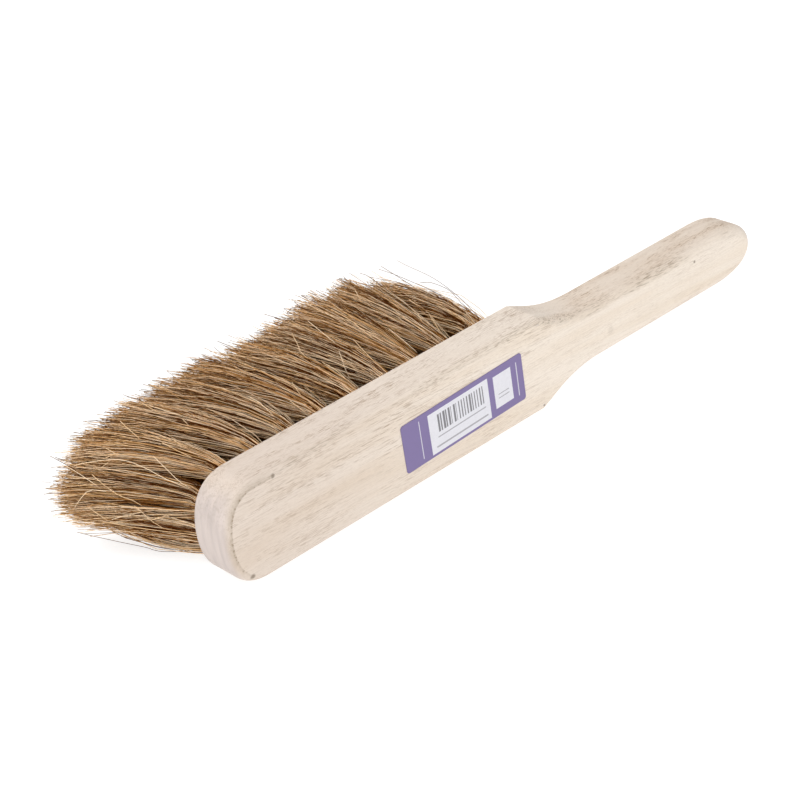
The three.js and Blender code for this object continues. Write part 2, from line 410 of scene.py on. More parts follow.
def plain_mesh(host: bpy.types.Object, name: str) -> bpy.types.Mesh:
    """Turns an object with its modifiers into a plain mesh.

    Args:
        host: The object, with live modifiers.
        name: The new mesh's name.

    Returns:
        The mesh as evaluated.
    """
    depsgraph = bpy.context.evaluated_depsgraph_get()
    depsgraph.update()
    mesh = bpy.data.meshes.new_from_object(
        host.evaluated_get(depsgraph), preserve_all_data_layers=True, depsgraph=depsgraph
    )
    mesh.name = name
    return mesh


def add_piece(name: str, mesh: bpy.types.Mesh, slot: Slot, *nodes: str) -> bpy.types.Object:
    """Puts a finished mesh in the scene as a piece of the brush.

    Args:
        name: The piece's name.
        mesh: Its mesh, in place.
        slot: The record's slot for its finish; not used.
        *nodes: The frame's nodes that it stands for.

    Returns:
        The new object.
    """
    piece = bpy.data.objects.new(name, mesh)
    bpy.context.scene.collection.objects.link(piece)
    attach(piece, BODY)
    if nodes:
        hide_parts(*nodes)
    LOG.info("%s: %d faces", name, len(mesh.polygons))
    return piece


def bezier(points: Sequence[Point], steps: int) -> list[Point]:
    """Samples a cubic curve, without its last point.

    Args:
        points: The start, two handles and the end.
        steps: How many points are given.

    Returns:
        The points along the curve.
    """
    found = []
    for step in range(steps):
        t = step / steps
        weights = ((1 - t) ** 3, 3 * t * (1 - t) ** 2, 3 * t * t * (1 - t), t**3)
        found.append(
            (
                sum(w * p[0] for w, p in zip(weights, points)),
                sum(w * p[1] for w, p in zip(weights, points)),
            )
        )
    return found


def straight(start: Point, end: Point, steps: int) -> list[Point]:
    """Samples a straight line, without its last point."""
    run, rise = end[0] - start[0], end[1] - start[1]
    return [(start[0] + run * k / steps, start[1] + rise * k / steps) for k in range(steps)]


def loft(name: str, points: Sequence[Place], count: int) -> bpy.types.Mesh:
    """Joins rings of points into a closed mesh.

    Args:
        name: The mesh's name.
        points: The points in millimetres, ring after ring.
        count: How many points each ring has.

    Returns:
        The mesh in metres.
    """
    last = len(points) - count
    faces = [tuple(range(count)), tuple(range(len(points) - 1, last - 1, -1))]
    for start in range(0, last, count):
        for k in range(count):
            a, b = start + k, start + (k + 1) % count
            faces.append((a, a + count, b + count, b))
    mesh = bpy.data.meshes.new(name)
    mesh.from_pydata([tuple(part * MM for part in point) for point in points], [], faces)
    mesh.update()
    return mesh


def smoothstep(low: float, high: float, value: float) -> float:
    """Rises smoothly from 0 at low to 1 at high."""
    t = min(max((value - low) / (high - low), 0.0), 1.0)
    return t * t * (3 - 2 * t)


@dataclass(frozen=True)
class Dent:
    """A small mark on the back: its place along and up the stock, its radius, and how dark it is."""

    x: float
    z: float
    radius: float
    depth: float = 0.7


@dataclass(frozen=True)
class Grain:
    """A noise in the wood: its size in millimetres, its finer layers, where it rises, and its turn."""

    size: Place
    detail: float = 2.0
    rise: Point = (0.0, 1.0)
    turn: float = math.radians(2.0)

    def raw(self, graph: MaterialGraph, place: Value) -> Value:
        """Gives the noise as it is, around 0.5."""
        metres = tuple(part * MM for part in self.size)
        return graph.noise(graph.stretched(place, metres, self.turn), self.detail)

    def shown(self, graph: MaterialGraph, place: Value) -> Value:
        """Gives the noise where it rises from 0 to 1."""
        return self.raw(graph, place).eased(*self.rise)


@dataclass(frozen=True)
class EdgeBand:
    """A band along a soft edge, by where it rises and falls as the surface turns away from the back."""

    rise: Point
    fall: Point

    def mask(self, turn: Value) -> Value:
        """Gives how strong the band is at a turn."""
        return turn.eased(*self.rise) * (1 - turn.eased(*self.fall))


@dataclass(frozen=True)
class BeechFinish:
    """Bare sanded beech: fine streaks and short pores along the grain, with scuffed edges and painted
    shade on the sides.
    """

    pale: Colour = shade(240, 229, 216)
    warm: Colour = shade(232, 217, 199)
    # Painted shade in part: the sides that face up and down are greyer than the back, partly for their
    # edge grain and partly as painted shade for the upper side's lesser light.
    side: Colour = shade(228, 216, 204)
    # Painted shade: the handle's sides are darker still, a painted shading line beside the back.
    handle_side_shade: Colour = shade(219, 202, 185)
    end_grain: Colour = shade(203, 194, 189)
    end_light: Colour = shade(224, 214, 208)
    nose_tint: Colour = shade(237, 233, 232)
    streak: Colour = shade(192, 176, 160)
    pore: Colour = shade(148, 120, 92)
    scuff: Colour = shade(150, 133, 112)
    mark: Colour = shade(112, 98, 82)
    bands: Grain = Grain((120.0, 6.0, 9.0), 3.0, (0.35, 0.7))
    patches: Grain = Grain((30.0, 5.0, 5.0))
    streaks: Grain = Grain((30.0, 0.3, 0.3), 2.0, (0.48, 0.72))
    flecks: Grain = Grain((3.6, 0.24, 0.24), 1.0, (0.75, 0.85))
    dashes: Grain = Grain((4.5, 0.24, 0.24), 1.0, (0.56, 0.67))
    specks: Grain = Grain((1.4, 0.5, 0.5), 2.0, (0.35, 0.7))
    end_bands: Grain = Grain((4.0, 3.0, 30.0), 2.0, (0.25, 0.75), 0.0)
    edge_dashes: Grain = Grain((5.0, 0.4, 0.4), 1.0, (0.56, 0.68))
    edge_crumbs: Grain = Grain((4.0, 3.0, 7.0), 3.0, (0.42, 0.62), 0.0)
    edge_specks: Grain = Grain((1.2, 1.0, 1.2), 2.0, (0.48, 0.64), 0.0)
    soft_band: EdgeBand = EdgeBand((0.02, 0.2), (0.5, 0.9))
    wide_band: EdgeBand = EdgeBand((0.0, 0.1), (0.15, 0.7))
    fine_band: EdgeBand = EdgeBand((0.0, 0.04), (0.08, 0.24))
    end_rise: Point = (0.3, 0.95)
    rough_end: Point = (0.15, 0.6)
    rough_turn: Point = (0.3, 0.6)
    dent_turn: Point = (0.7, 0.9)
    pore_patches: Point = (0.38, 0.6)
    dash_patches: Point = (0.38, 0.62)
    handle_shade_patches: Point = (0.35, 0.65)
    scuff_patches: Point = (0.42, 0.6)
    nose_zone: Point = (-80.0, 80.0)
    nose_edge: Point = (-77.0, -66.0)
    upper_zone: Point = (25.0, 30.0)
    corner_zone: Point = (22.0, 36.0)
    corner_run: float = 14.0
    handle_zone: Point = (70.0, 110.0)
    fleck_zone: Point = (10.0, 36.0)
    streak_share: float = 0.24
    speck_share: float = 0.16
    side_share: float = 0.8
    pore_share: float = 0.8
    back_pores: float = 0.2
    nose_pores: float = 0.15
    side_pores: float = 0.4
    handle_pores: float = 0.4
    head_dashes: float = 0.5
    handle_dashes: float = 0.15
    least_handle_shade: float = 0.4
    rough_share: float = 0.22
    smoothest: float = 0.58
    bump_height: float = 0.1
    bump_strength: float = 0.6
    dent_wobble: float = 2.0
    dent_core: float = 0.3
    dents: tuple[Dent, ...] = (
        Dent(-55.3, 38.7, 1.2),
        Dent(-71.1, 4.5, 1.5),
        Dent(79.6, 2.7, 0.9),
        Dent(120.1, 18.3, 2.4, 0.13),
        Dent(172.9, 26.9, 0.9),
    )

    def material(self) -> bpy.types.Material:
        """Makes the material.

        Returns:
            The finished material.
        """
        graph = MaterialGraph("beech", Specular_IOR_Level=0.3)
        place = graph.place()
        x, _, z = graph.split(place)
        bands = self.bands.raw(graph, place)
        patches = self.patches.raw(graph, place)
        side_cut = graph.attribute("side_cut")
        long_grain = 1 - graph.attribute("end_cut").eased(*self.end_rise)
        handle = self.along(x, self.handle_zone)
        nose = 1 - self.along(x, self.nose_zone)
        streaks = self.streaks.shown(graph, place) * long_grain
        flecks = self.flecks.raw(graph, place) + patches * 0.3
        side_pores = side_cut * (self.side_pores + handle * self.handle_pores)
        open_grain = self.back_pores + nose * self.nose_pores + side_pores
        open_grain = open_grain * (0.35 + patches.eased(*self.pore_patches) * 0.8)
        pores = flecks.eased(*self.flecks.rise) * long_grain * open_grain
        fewer = handle * (self.head_dashes - self.handle_dashes)
        dashes = self.dashes.shown(graph, place) * long_grain * (self.head_dashes - fewer)
        sown = 0.4 + patches.eased(*self.dash_patches) * 0.6
        sown = sown * (0.5 + self.along(z, self.fleck_zone) * 0.5)
        colour = graph.mix(bands.eased(*self.bands.rise), self.pale, self.warm)
        # Painted shade in part: the sides turn greyer than the back.
        colour = graph.mix(side_cut * self.side_share, colour, self.side)
        # Painted shade: the handle's sides darken further, in patches.
        patchy_handle_shade = patches.eased(*self.handle_shade_patches) * (1 - self.least_handle_shade)
        brown = side_cut * handle * (self.least_handle_shade + patchy_handle_shade)
        colour = graph.mix(brown, colour, self.handle_side_shade)
        ends = graph.mix(self.end_bands.shown(graph, place), self.end_grain, self.end_light)
        colour = graph.mix(1 - long_grain, colour, ends)
        colour = graph.mix(nose, colour, self.nose_tint, "MULTIPLY")
        colour = graph.mix(streaks * self.streak_share, colour, self.streak)
        colour = graph.mix(self.specks.shown(graph, place) * self.speck_share, colour, self.streak)
        colour = graph.mix(dashes * sown, colour, self.pore)
        colour = graph.mix(pores * self.pore_share, colour, self.pore)
        colour = graph.mix(self.scuffs(graph, place, patches), colour, self.scuff)
        dents = self.dent_mask(graph, x, z, patches)
        colour = graph.mix(dents, colour, self.mark)
        graph.feed("Base Color", colour)
        graph.feed("Roughness", self.smoothest + bands * 0.1 + pores * 0.15)
        height = 1 - pores * 0.6 - streaks * 0.25 - dents
        graph.bump(height, self.bump_height * MM, self.bump_strength)
        return graph.material

    @staticmethod
    def along(part: Value, zone: Point) -> Value:
        """Rises from 0 to 1 over a zone that is given in millimetres."""
        return part.eased(zone[0] * MM, zone[1] * MM)

    def scuffs(self, graph: MaterialGraph, place: Value, patches: Value) -> Value:
        """Finds the brown scuffs along the nose's edge and the upper soft edge.

        Args:
            graph: The material's nodes.
            place: The Object coordinates.
            patches: A noise that breaks them up.

        Returns:
            How strong they are.
        """
        x, _, z = graph.split(place)
        turn = graph.attribute("edge_turn")
        corner = self.along(z, self.corner_zone)
        crumbs = self.edge_crumbs.shown(graph, place)
        specks = self.edge_specks.shown(graph, place)
        upper = self.soft_band.mask(turn) * self.along(z, self.upper_zone)
        upper = upper * patches.eased(*self.scuff_patches)
        upper = upper * (0.08 + self.edge_dashes.shown(graph, place) * 0.6)
        wide = self.wide_band.mask(turn) * (0.15 + crumbs * 0.2 + corner * 0.12)
        fine = self.fine_band.mask(turn) * (0.15 + specks * 0.5)
        nose = (wide + fine) * (1 - self.along(x - corner * (self.corner_run * MM), self.nose_edge))
        rough = graph.attribute("end_cut").eased(*self.rough_end) * turn.eased(*self.rough_turn)
        rough = rough * corner * specks * self.rough_share
        return upper.apply("MAXIMUM", nose).apply("MAXIMUM", rough)

    def dent_mask(self, graph: MaterialGraph, x: Value, z: Value, patches: Value) -> Value:
        """Finds the dents on the back.

        Args:
            graph: The material's nodes.
            x: The place along the stock.
            z: The height.
            patches: A noise that makes their edges uneven.

        Returns:
            How dark the wood is there, with soft edges.
        """
        flat = graph.join(x + (patches - 0.5) * (self.dent_wobble * MM), 0.0, z)
        found: Term = 0.0
        for dent in self.dents:
            sockets = {0: flat, 1: (dent.x * MM, 0.0, dent.z * MM)}
            away = graph.value("ShaderNodeVectorMath", {"operation": "DISTANCE"}, sockets, "Value")
            inside = 1 - away.eased(self.dent_core * dent.radius * MM, dent.radius * MM)
            found = (inside * dent.depth).apply("MAXIMUM", found)
        return found * (1 - graph.attribute("edge_turn").eased(*self.dent_turn))


@dataclass(frozen=True)
class Area:
    """A printed part of the label, by its edges as shares of the label."""

    left: float
    right: float
    top: float
    bottom: float

    def mask(self, u: Value, v: Value) -> Value:
        """Gives 1 in the part and 0 elsewhere."""
        return u.between(self.left, self.right) * v.between(self.top, self.bottom)


@dataclass(frozen=True)
class LabelFinish:
    """Printed paper: a violet ground with two white panels, plain bars and thin rules."""

    violet: Colour = shade(124, 110, 156)
    white: Colour = shade(223, 222, 228)
    ink: Colour = shade(92, 90, 94)
    panels: tuple[Area, ...] = (Area(0.21, 0.705, 0.10, 0.95), Area(0.75, 0.90, 0.155, 0.84))
    bars: Area = Area(0.28, 0.66, 0.19, 0.56)
    bar_steps: float = 46.0
    bar_widths: Point = (0.2, 0.6)
    ink_rules: tuple[Area, ...] = (
        Area(0.27, 0.67, 0.64, 0.665),
        Area(0.25, 0.68, 0.82, 0.855),
        Area(0.78, 0.87, 0.56, 0.58),
        Area(0.78, 0.87, 0.64, 0.66),
    )
    white_rules: tuple[Area, ...] = (Area(0.137, 0.143, 0.1, 0.9), Area(0.945, 0.952, 0.14, 0.86))
    bar_share: float = 0.85
    ink_share: float = 0.55
    white_share: float = 0.8
    paper_grain: float = 0.8
    paper_rise: Point = (0.3, 0.8)
    paper_share: float = 0.06
    bump_height: float = 0.02
    bump_strength: float = 0.3

    def material(self) -> bpy.types.Material:
        """Makes the material.

        Returns:
            The finished material.
        """
        graph = MaterialGraph("label_paper", Roughness=0.45, Specular_IOR_Level=0.4)
        u, v, _ = graph.split(graph.value("ShaderNodeUVMap", {"uv_map": "print"}))
        step = u * self.bar_steps
        sockets = {"W": step.apply("FLOOR")}
        width = graph.value("ShaderNodeTexWhiteNoise", {"noise_dimensions": "1D"}, sockets)
        least, more = self.bar_widths
        bars = (least + width * more > step.apply("FRACT")) * self.bars.mask(u, v)
        paper = graph.noise(graph.stretched(graph.place(), (self.paper_grain * MM,) * 3), 2.0)
        colour = graph.mix(self.printed(u, v, self.panels), self.violet, self.white)
        colour = graph.mix(bars * self.bar_share, colour, self.ink)
        colour = graph.mix(self.printed(u, v, self.ink_rules) * self.ink_share, colour, self.ink)
        colour = graph.mix(self.printed(u, v, self.white_rules) * self.white_share, colour, self.white)
        colour = graph.mix(paper.eased(*self.paper_rise) * self.paper_share, colour, self.ink)
        graph.feed("Base Color", colour)
        graph.bump(paper, self.bump_height * MM, self.bump_strength)
        return graph.material

    @staticmethod
    def printed(u: Value, v: Value, areas: Sequence[Area]) -> Value:
        """Joins some printed parts.

        Args:
            u: The place along the label.
            v: The place down it.
            areas: The parts.

        Returns:
            1 in any of them and 0 elsewhere.
        """
        found: Term = 0.0
        for area in areas:
            found = area.mask(u, v).apply("MAXIMUM", found)
        return found


@dataclass(frozen=True)
class CoirFinish:
    """Coconut fibre: every fibre has its own tone, from dark brown to straw."""

    dark: Colour = shade(86, 42, 2)
    brown: Colour = shade(186, 132, 71)
    golden: Colour = shade(245, 202, 146)
    straw: Colour = shade(255, 229, 195)
    # Grey-brown of the longest fibres' ends: partly their dark cut ends, partly painted shade.
    tip: Colour = shade(88, 74, 62)
    tones: tuple[float, ...] = (0.33, 0.47, 0.6, 0.78)
    mottle_size: Place = (4.0, 6.0, 4.0)
    mottle_share: float = 0.2
    # The fibres turn paler towards their tips.
    paler_end_zone: Point = (0.5, 1.0)
    paler_end_share: float = 0.2
    tip_zone: Point = (0.92, 1.0)
    tip_share: float = 0.65

    def material(self) -> bpy.types.Material:
        """Makes the material.

        Returns:
            The finished material.
        """
        graph = MaterialGraph("coir", Roughness=0.7, Specular_IOR_Level=0.05)
        along = graph.attribute("along")
        metres = tuple(part * MM for part in self.mottle_size)
        mottle = graph.noise(graph.stretched(graph.place(), metres), 2.0)
        tone = graph.attribute("tone") + (mottle - 0.5) * self.mottle_share
        stops = list(zip(self.tones, (self.dark, self.brown, self.golden, self.straw)))
        colour = graph.value("ShaderNodeValToRGB", {"stops": stops}, {0: tone})
        # The fibres turn paler towards their tips.
        colour = graph.mix(along.eased(*self.paler_end_zone) * self.paler_end_share, colour, self.golden)
        # Painted shade in part: the ends of the longest fibres turn grey-brown, partly their dark cut ends
        # and partly shade on these thin ends.
        ends = along.eased(*self.tip_zone) * graph.attribute("dark_tip") * self.tip_share
        graph.feed("Base Color", graph.mix(ends, colour, self.tip))
        return graph.material


@dataclass(frozen=True)
class WireFinish:
    """Galvanised wire, dulled unevenly."""

    bright: Colour = shade(196, 198, 202)
    dull: Colour = shade(146, 148, 152)
    spot_size: float = 0.6
    spot_rise: Point = (0.35, 0.65)
    smoothest: float = 0.3
    unevenness: float = 0.25

    def material(self) -> bpy.types.Material:
        """Makes the material.

        Returns:
            The finished material.
        """
        graph = MaterialGraph("staple_wire", Metallic=1.0)
        spots = graph.noise(graph.stretched(graph.place(), (self.spot_size * MM,) * 3), 3.0)
        graph.feed("Base Color", graph.mix(spots.eased(*self.spot_rise), self.bright, self.dull))
        graph.feed("Roughness", self.smoothest + spots * self.unevenness)
        return graph.material


@dataclass
class TuftPlan:
    """Where the tufts stand: two outer rows, and two inner rows half a pitch nearer the nose."""

    face_y: float = 9.0
    pitch: float = 15.6
    row_heights: tuple[float, ...] = (6.4, 16.0, 25.6, 35.2)
    counts: tuple[int, ...] = (9, 10, 10, 9)
    first_x: tuple[float, ...] = (-61.0, -68.8, -68.8, -61.0)
    hole_radius: float = 3.3
    hole_depth: float = 12.0

    def place(self, row: int, tuft: int = 0) -> Place:
        """Gives the place of a row's tuft on the bristle face, in metres."""
        x = self.first_x[row] + self.pitch * tuft
        return x * MM, self.face_y * MM, self.row_heights[row] * MM

    def ends(self) -> Point:
        """Finds the ends of the longest row.

        Returns:
            X of its first and last tufts.
        """
        longest = max(range(len(self.counts)), key=lambda row: self.counts[row])
        first = self.first_x[longest]
        return first, first + self.pitch * (self.counts[longest] - 1)


@dataclass
class WoodenStock:
    """The wooden stock: a flat head with a rounded nose, a neck and a handle."""

    plan: TuftPlan
    nose_x: float = -80.0
    end_x: float = 211.0
    shoulder_x: float = 80.0
    mid_z: float = 20.8
    back_y: float = -9.0
    half_width: float = 20.8
    half_handle: float = 12.5
    nose_run: float = 17.0
    nose_fullness: float = 11.5
    nose_corner: float = 4.5
    neck_run: float = 34.0
    shoulder_pull: float = 7.0
    shoulder_drop: float = 2.4
    neck_pull: float = 19.0
    end_run: float = 23.0
    end_corner: float = 12.0
    end_fullness: float = 9.0
    back_edge: Point = (3.5, 5.2)
    bristle_edge: Point = (1.5, 2.4)
    curve_steps: int = 28
    head_steps: int = 40
    handle_steps: int = 24
    back_steps: int = 9
    bristle_steps: int = 6
    hole_sides: int = 24
    sharp_angle: float = math.radians(40.0)

    def half_outline(self) -> list[Point]:
        """Gives the lower half of the outline about the centre line.

        Returns:
            Points from the nose to the handle end, with both.
        """
        nose, end = self.nose_x, self.end_x
        wide, slim = -self.half_width, -self.half_handle
        shoulder, neck = self.shoulder_x, self.shoulder_x + self.neck_run
        grip = end - self.end_run
        nose_curve = [
            (nose, 0.0),
            (nose, -self.nose_fullness),
            (nose + self.nose_corner, wide),
            (nose + self.nose_run, wide),
        ]
        neck_curve = [
            (shoulder, wide),
            (shoulder + self.shoulder_pull, wide + self.shoulder_drop),
            (neck - self.neck_pull, slim),
            (neck, slim),
        ]
        end_curve = [
            (grip, slim),
            (grip + self.end_corner, slim),
            (end, -self.end_fullness),
            (end, 0.0),
        ]
        return [
            *bezier(nose_curve, self.curve_steps),
            *straight(nose_curve[3], neck_curve[0], self.head_steps),
            *bezier(neck_curve, self.curve_steps),
            *straight(neck_curve[3], end_curve[0], self.handle_steps),
            *bezier(end_curve, self.curve_steps),
            end_curve[3],
        ]

    def outline(self) -> list[Point]:
        """Gives the whole outline, turning from +X to +Z."""
        lower = self.half_outline()
        return lower + [(x, -z) for x, z in reversed(lower[1:-1])]

    def blended(self, pair: Point, x: float) -> float:
        """Blends an edge radius from the head's to the handle's."""
        share = smoothstep(self.shoulder_x, self.shoulder_x + self.neck_run, x)
        return pair[0] + (pair[1] - pair[0]) * share

    def levels(self) -> list[tuple[bool, float]]:
        """Gives the rings from the back to the bristle face.

        Returns:
            For each ring, whether it is on the back edge, and its angle.
        """
        quarter = math.pi / 2
        back = [(True, quarter * k / self.back_steps) for k in range(self.back_steps + 1)]
        bristle = [
            (False, quarter * k / self.bristle_steps) for k in range(self.bristle_steps, -1, -1)
        ]
        return back + bristle

    def solid(self) -> bpy.types.Mesh:
        """Lofts the stock's rings into a closed mesh.

        Returns:
            The mesh without its holes.
        """
        outline = self.outline()
        count = len(outline)
        inward = []
        for k in range(count):
            before, after = outline[k - 1], outline[(k + 1) % count]
            run = Vector((after[0] - before[0], after[1] - before[1])).normalized()
            inward.append((-run.y, run.x))
        points = []
        for on_back, angle in self.levels():
            for (x, z), (in_x, in_z) in zip(outline, inward):
                radius = self.blended(self.back_edge if on_back else self.bristle_edge, x)
                inset = radius * (1 - math.sin(angle))
                lift = radius * (1 - math.cos(angle))
                y = self.back_y + lift if on_back else self.plan.face_y - lift
                points.append((x + in_x * inset, y, self.mid_z + z + in_z * inset))
        return loft("stock_solid", points, count)

    def drilling(self, material: bpy.types.Material) -> GeometryTree:
        """Makes the tree that drills the tuft holes.

        Args:
            material: The stock's material.

        Returns:
            The finished tree.
        """
        tree = GeometryTree("tuft_holes", self.drill_sizes())
        depth = tree["hole_depth"] * 2
        sockets = {"Vertices": self.hole_sides, "Radius": tree["hole_radius"], "Depth": depth}
        drill = tree.value("GeometryNodeMeshCylinder", {"fill_type": "NGON"}, sockets)
        turned = {"Geometry": drill, "Rotation": (math.pi / 2, 0.0, 0.0)}
        drill = tree.value("GeometryNodeTransform", None, turned)
        joined = tree.node("GeometryNodeJoinGeometry")
        for row in range(len(self.plan.counts)):
            line = tree.line(tree[f"tufts_{row}"], tree[f"first_tuft_{row}"], tree["tuft_pitch"])
            sockets = {"Points": line, "Instance": drill}
            holes = tree.value("GeometryNodeInstanceOnPoints", None, sockets)
            tree.tree.links.new(holes.socket, joined.inputs[0])
        holes = tree.value("GeometryNodeRealizeInstances", None, {0: Value(tree, joined.outputs[0])})
        drilled = tree.value(
            "GeometryNodeMeshBoolean",
            {"operation": "DIFFERENCE", "solver": "EXACT"},
            {"Mesh 1": tree["Geometry"], "Mesh 2": holes},
        )
        tree.end(drilled, material)
        return tree

    def drill_sizes(self) -> dict[str, Any]:
        """Gives the drilling tree's inputs.

        Returns:
            The sizes by name, in metres.
        """
        sizes: dict[str, Any] = {
            "tuft_pitch": self.plan.pitch * MM,
            "hole_radius": self.plan.hole_radius * MM,
            "hole_depth": self.plan.hole_depth * MM,
        }
        for row, count in enumerate(self.plan.counts):
            sizes[f"tufts_{row}"] = count
            sizes[f"first_tuft_{row}"] = self.plan.place(row)
        return sizes

    def build(self, material: bpy.types.Material) -> bpy.types.Object:
        """Builds the drilled stock with what its finish reads.

        Args:
            material: The stock's material.

        Returns:
            The finished piece.
        """
        mesh = self.drilling(material).grow("stock", self.drill_sizes(), self.solid())
        mesh.set_sharp_from_angle(angle=self.sharp_angle)
        host = bpy.data.objects.new("stock_host", mesh)
        bpy.context.scene.collection.objects.link(host)
        weighted = host.modifiers.new("weighted", "WEIGHTED_NORMAL")
        weighted.keep_sharp = True
        mesh = plain_mesh(host, "stock")
        bpy.data.objects.remove(host)
        self.note_cuts(mesh)
        return add_piece("stock", mesh, Slot.BEECH, "wooden_stock")

    @staticmethod
    def note_cuts(mesh: bpy.types.Mesh) -> None:
        """Stores how each point's surface cuts the grain.

        Args:
            mesh: The stock's mesh.
        """
        cuts = {"end_cut": [], "side_cut": [], "edge_turn": []}
        for vertex in mesh.vertices:
            normal = vertex.normal
            cuts["end_cut"].append(abs(normal.x))
            cuts["side_cut"].append(normal.z * normal.z)
            cuts["edge_turn"].append(math.acos(min(max(-normal.y, 0.0), 1.0)) / (math.pi / 2))
        for name, values in cuts.items():
            mesh.attributes.new(name, "FLOAT", "POINT").data.foreach_set("value", values)


@dataclass
class PaperLabel:
    """The paper label on the back of the head."""

    centre_x: float = 37.0
    centre_z: float = 20.0
    front_y: float = -9.25
    thickness: float = 0.22
    length: float = 64.4
    width: float = 20.7
    corner: float = 1.2
    corner_steps: int = 6
    turn: float = math.radians(2.2)

    def outline(self) -> list[Point]:
        """Gives the label's outline about its own centre.

        Returns:
            Points turning from +X to +Z.
        """
        points = []
        for quarter, (side_x, side_z) in enumerate(((1, 1), (-1, 1), (-1, -1), (1, -1))):
            centre = (side_x * (self.length / 2 - self.corner), side_z * (self.width / 2 - self.corner))
            for step in range(self.corner_steps + 1):
                angle = math.pi / 2 * (quarter + step / self.corner_steps)
                x = centre[0] + self.corner * math.cos(angle)
                points.append((x, centre[1] + self.corner * math.sin(angle)))
        return points

    def build(self, material: bpy.types.Material) -> bpy.types.Object:
        """Builds the label with its own print coordinates.

        Args:
            material: The label's material.

        Returns:
            The finished piece.
        """
        outline = self.outline()
        cosine, sine = math.cos(self.turn), math.sin(self.turn)
        points = []
        for y in (self.front_y, self.front_y + self.thickness):
            for x, z in outline:
                across = self.centre_x + x * cosine - z * sine
                points.append((across, y, self.centre_z + x * sine + z * cosine))
        mesh = loft("label", points, len(outline))
        uv = mesh.uv_layers.new(name="print")
        for loop in mesh.loops:
            x, z = outline[loop.vertex_index % len(outline)]
            uv.data[loop.index].uv = (x / self.length + 0.5, 0.5 - z / self.width)
        mesh.materials.append(material)
        return add_piece("label", mesh, Slot.PAPER, "paper_label")


class Half(Enum):
    """Half of a row of tufts."""

    FRONT = "front"
    REAR = "rear"

    def span(self, count: int) -> tuple[int, int]:
        """Gives the first tuft of the half and the one after its last."""
        middle = (count + 1) // 2
        return (0, middle) if self is Half.FRONT else (middle, count)


@dataclass(frozen=True)
class Swell:
    """A rise or a dip along the tips: where it is, how far it runs to each side, and its height."""

    place: float
    run: float
    height: float


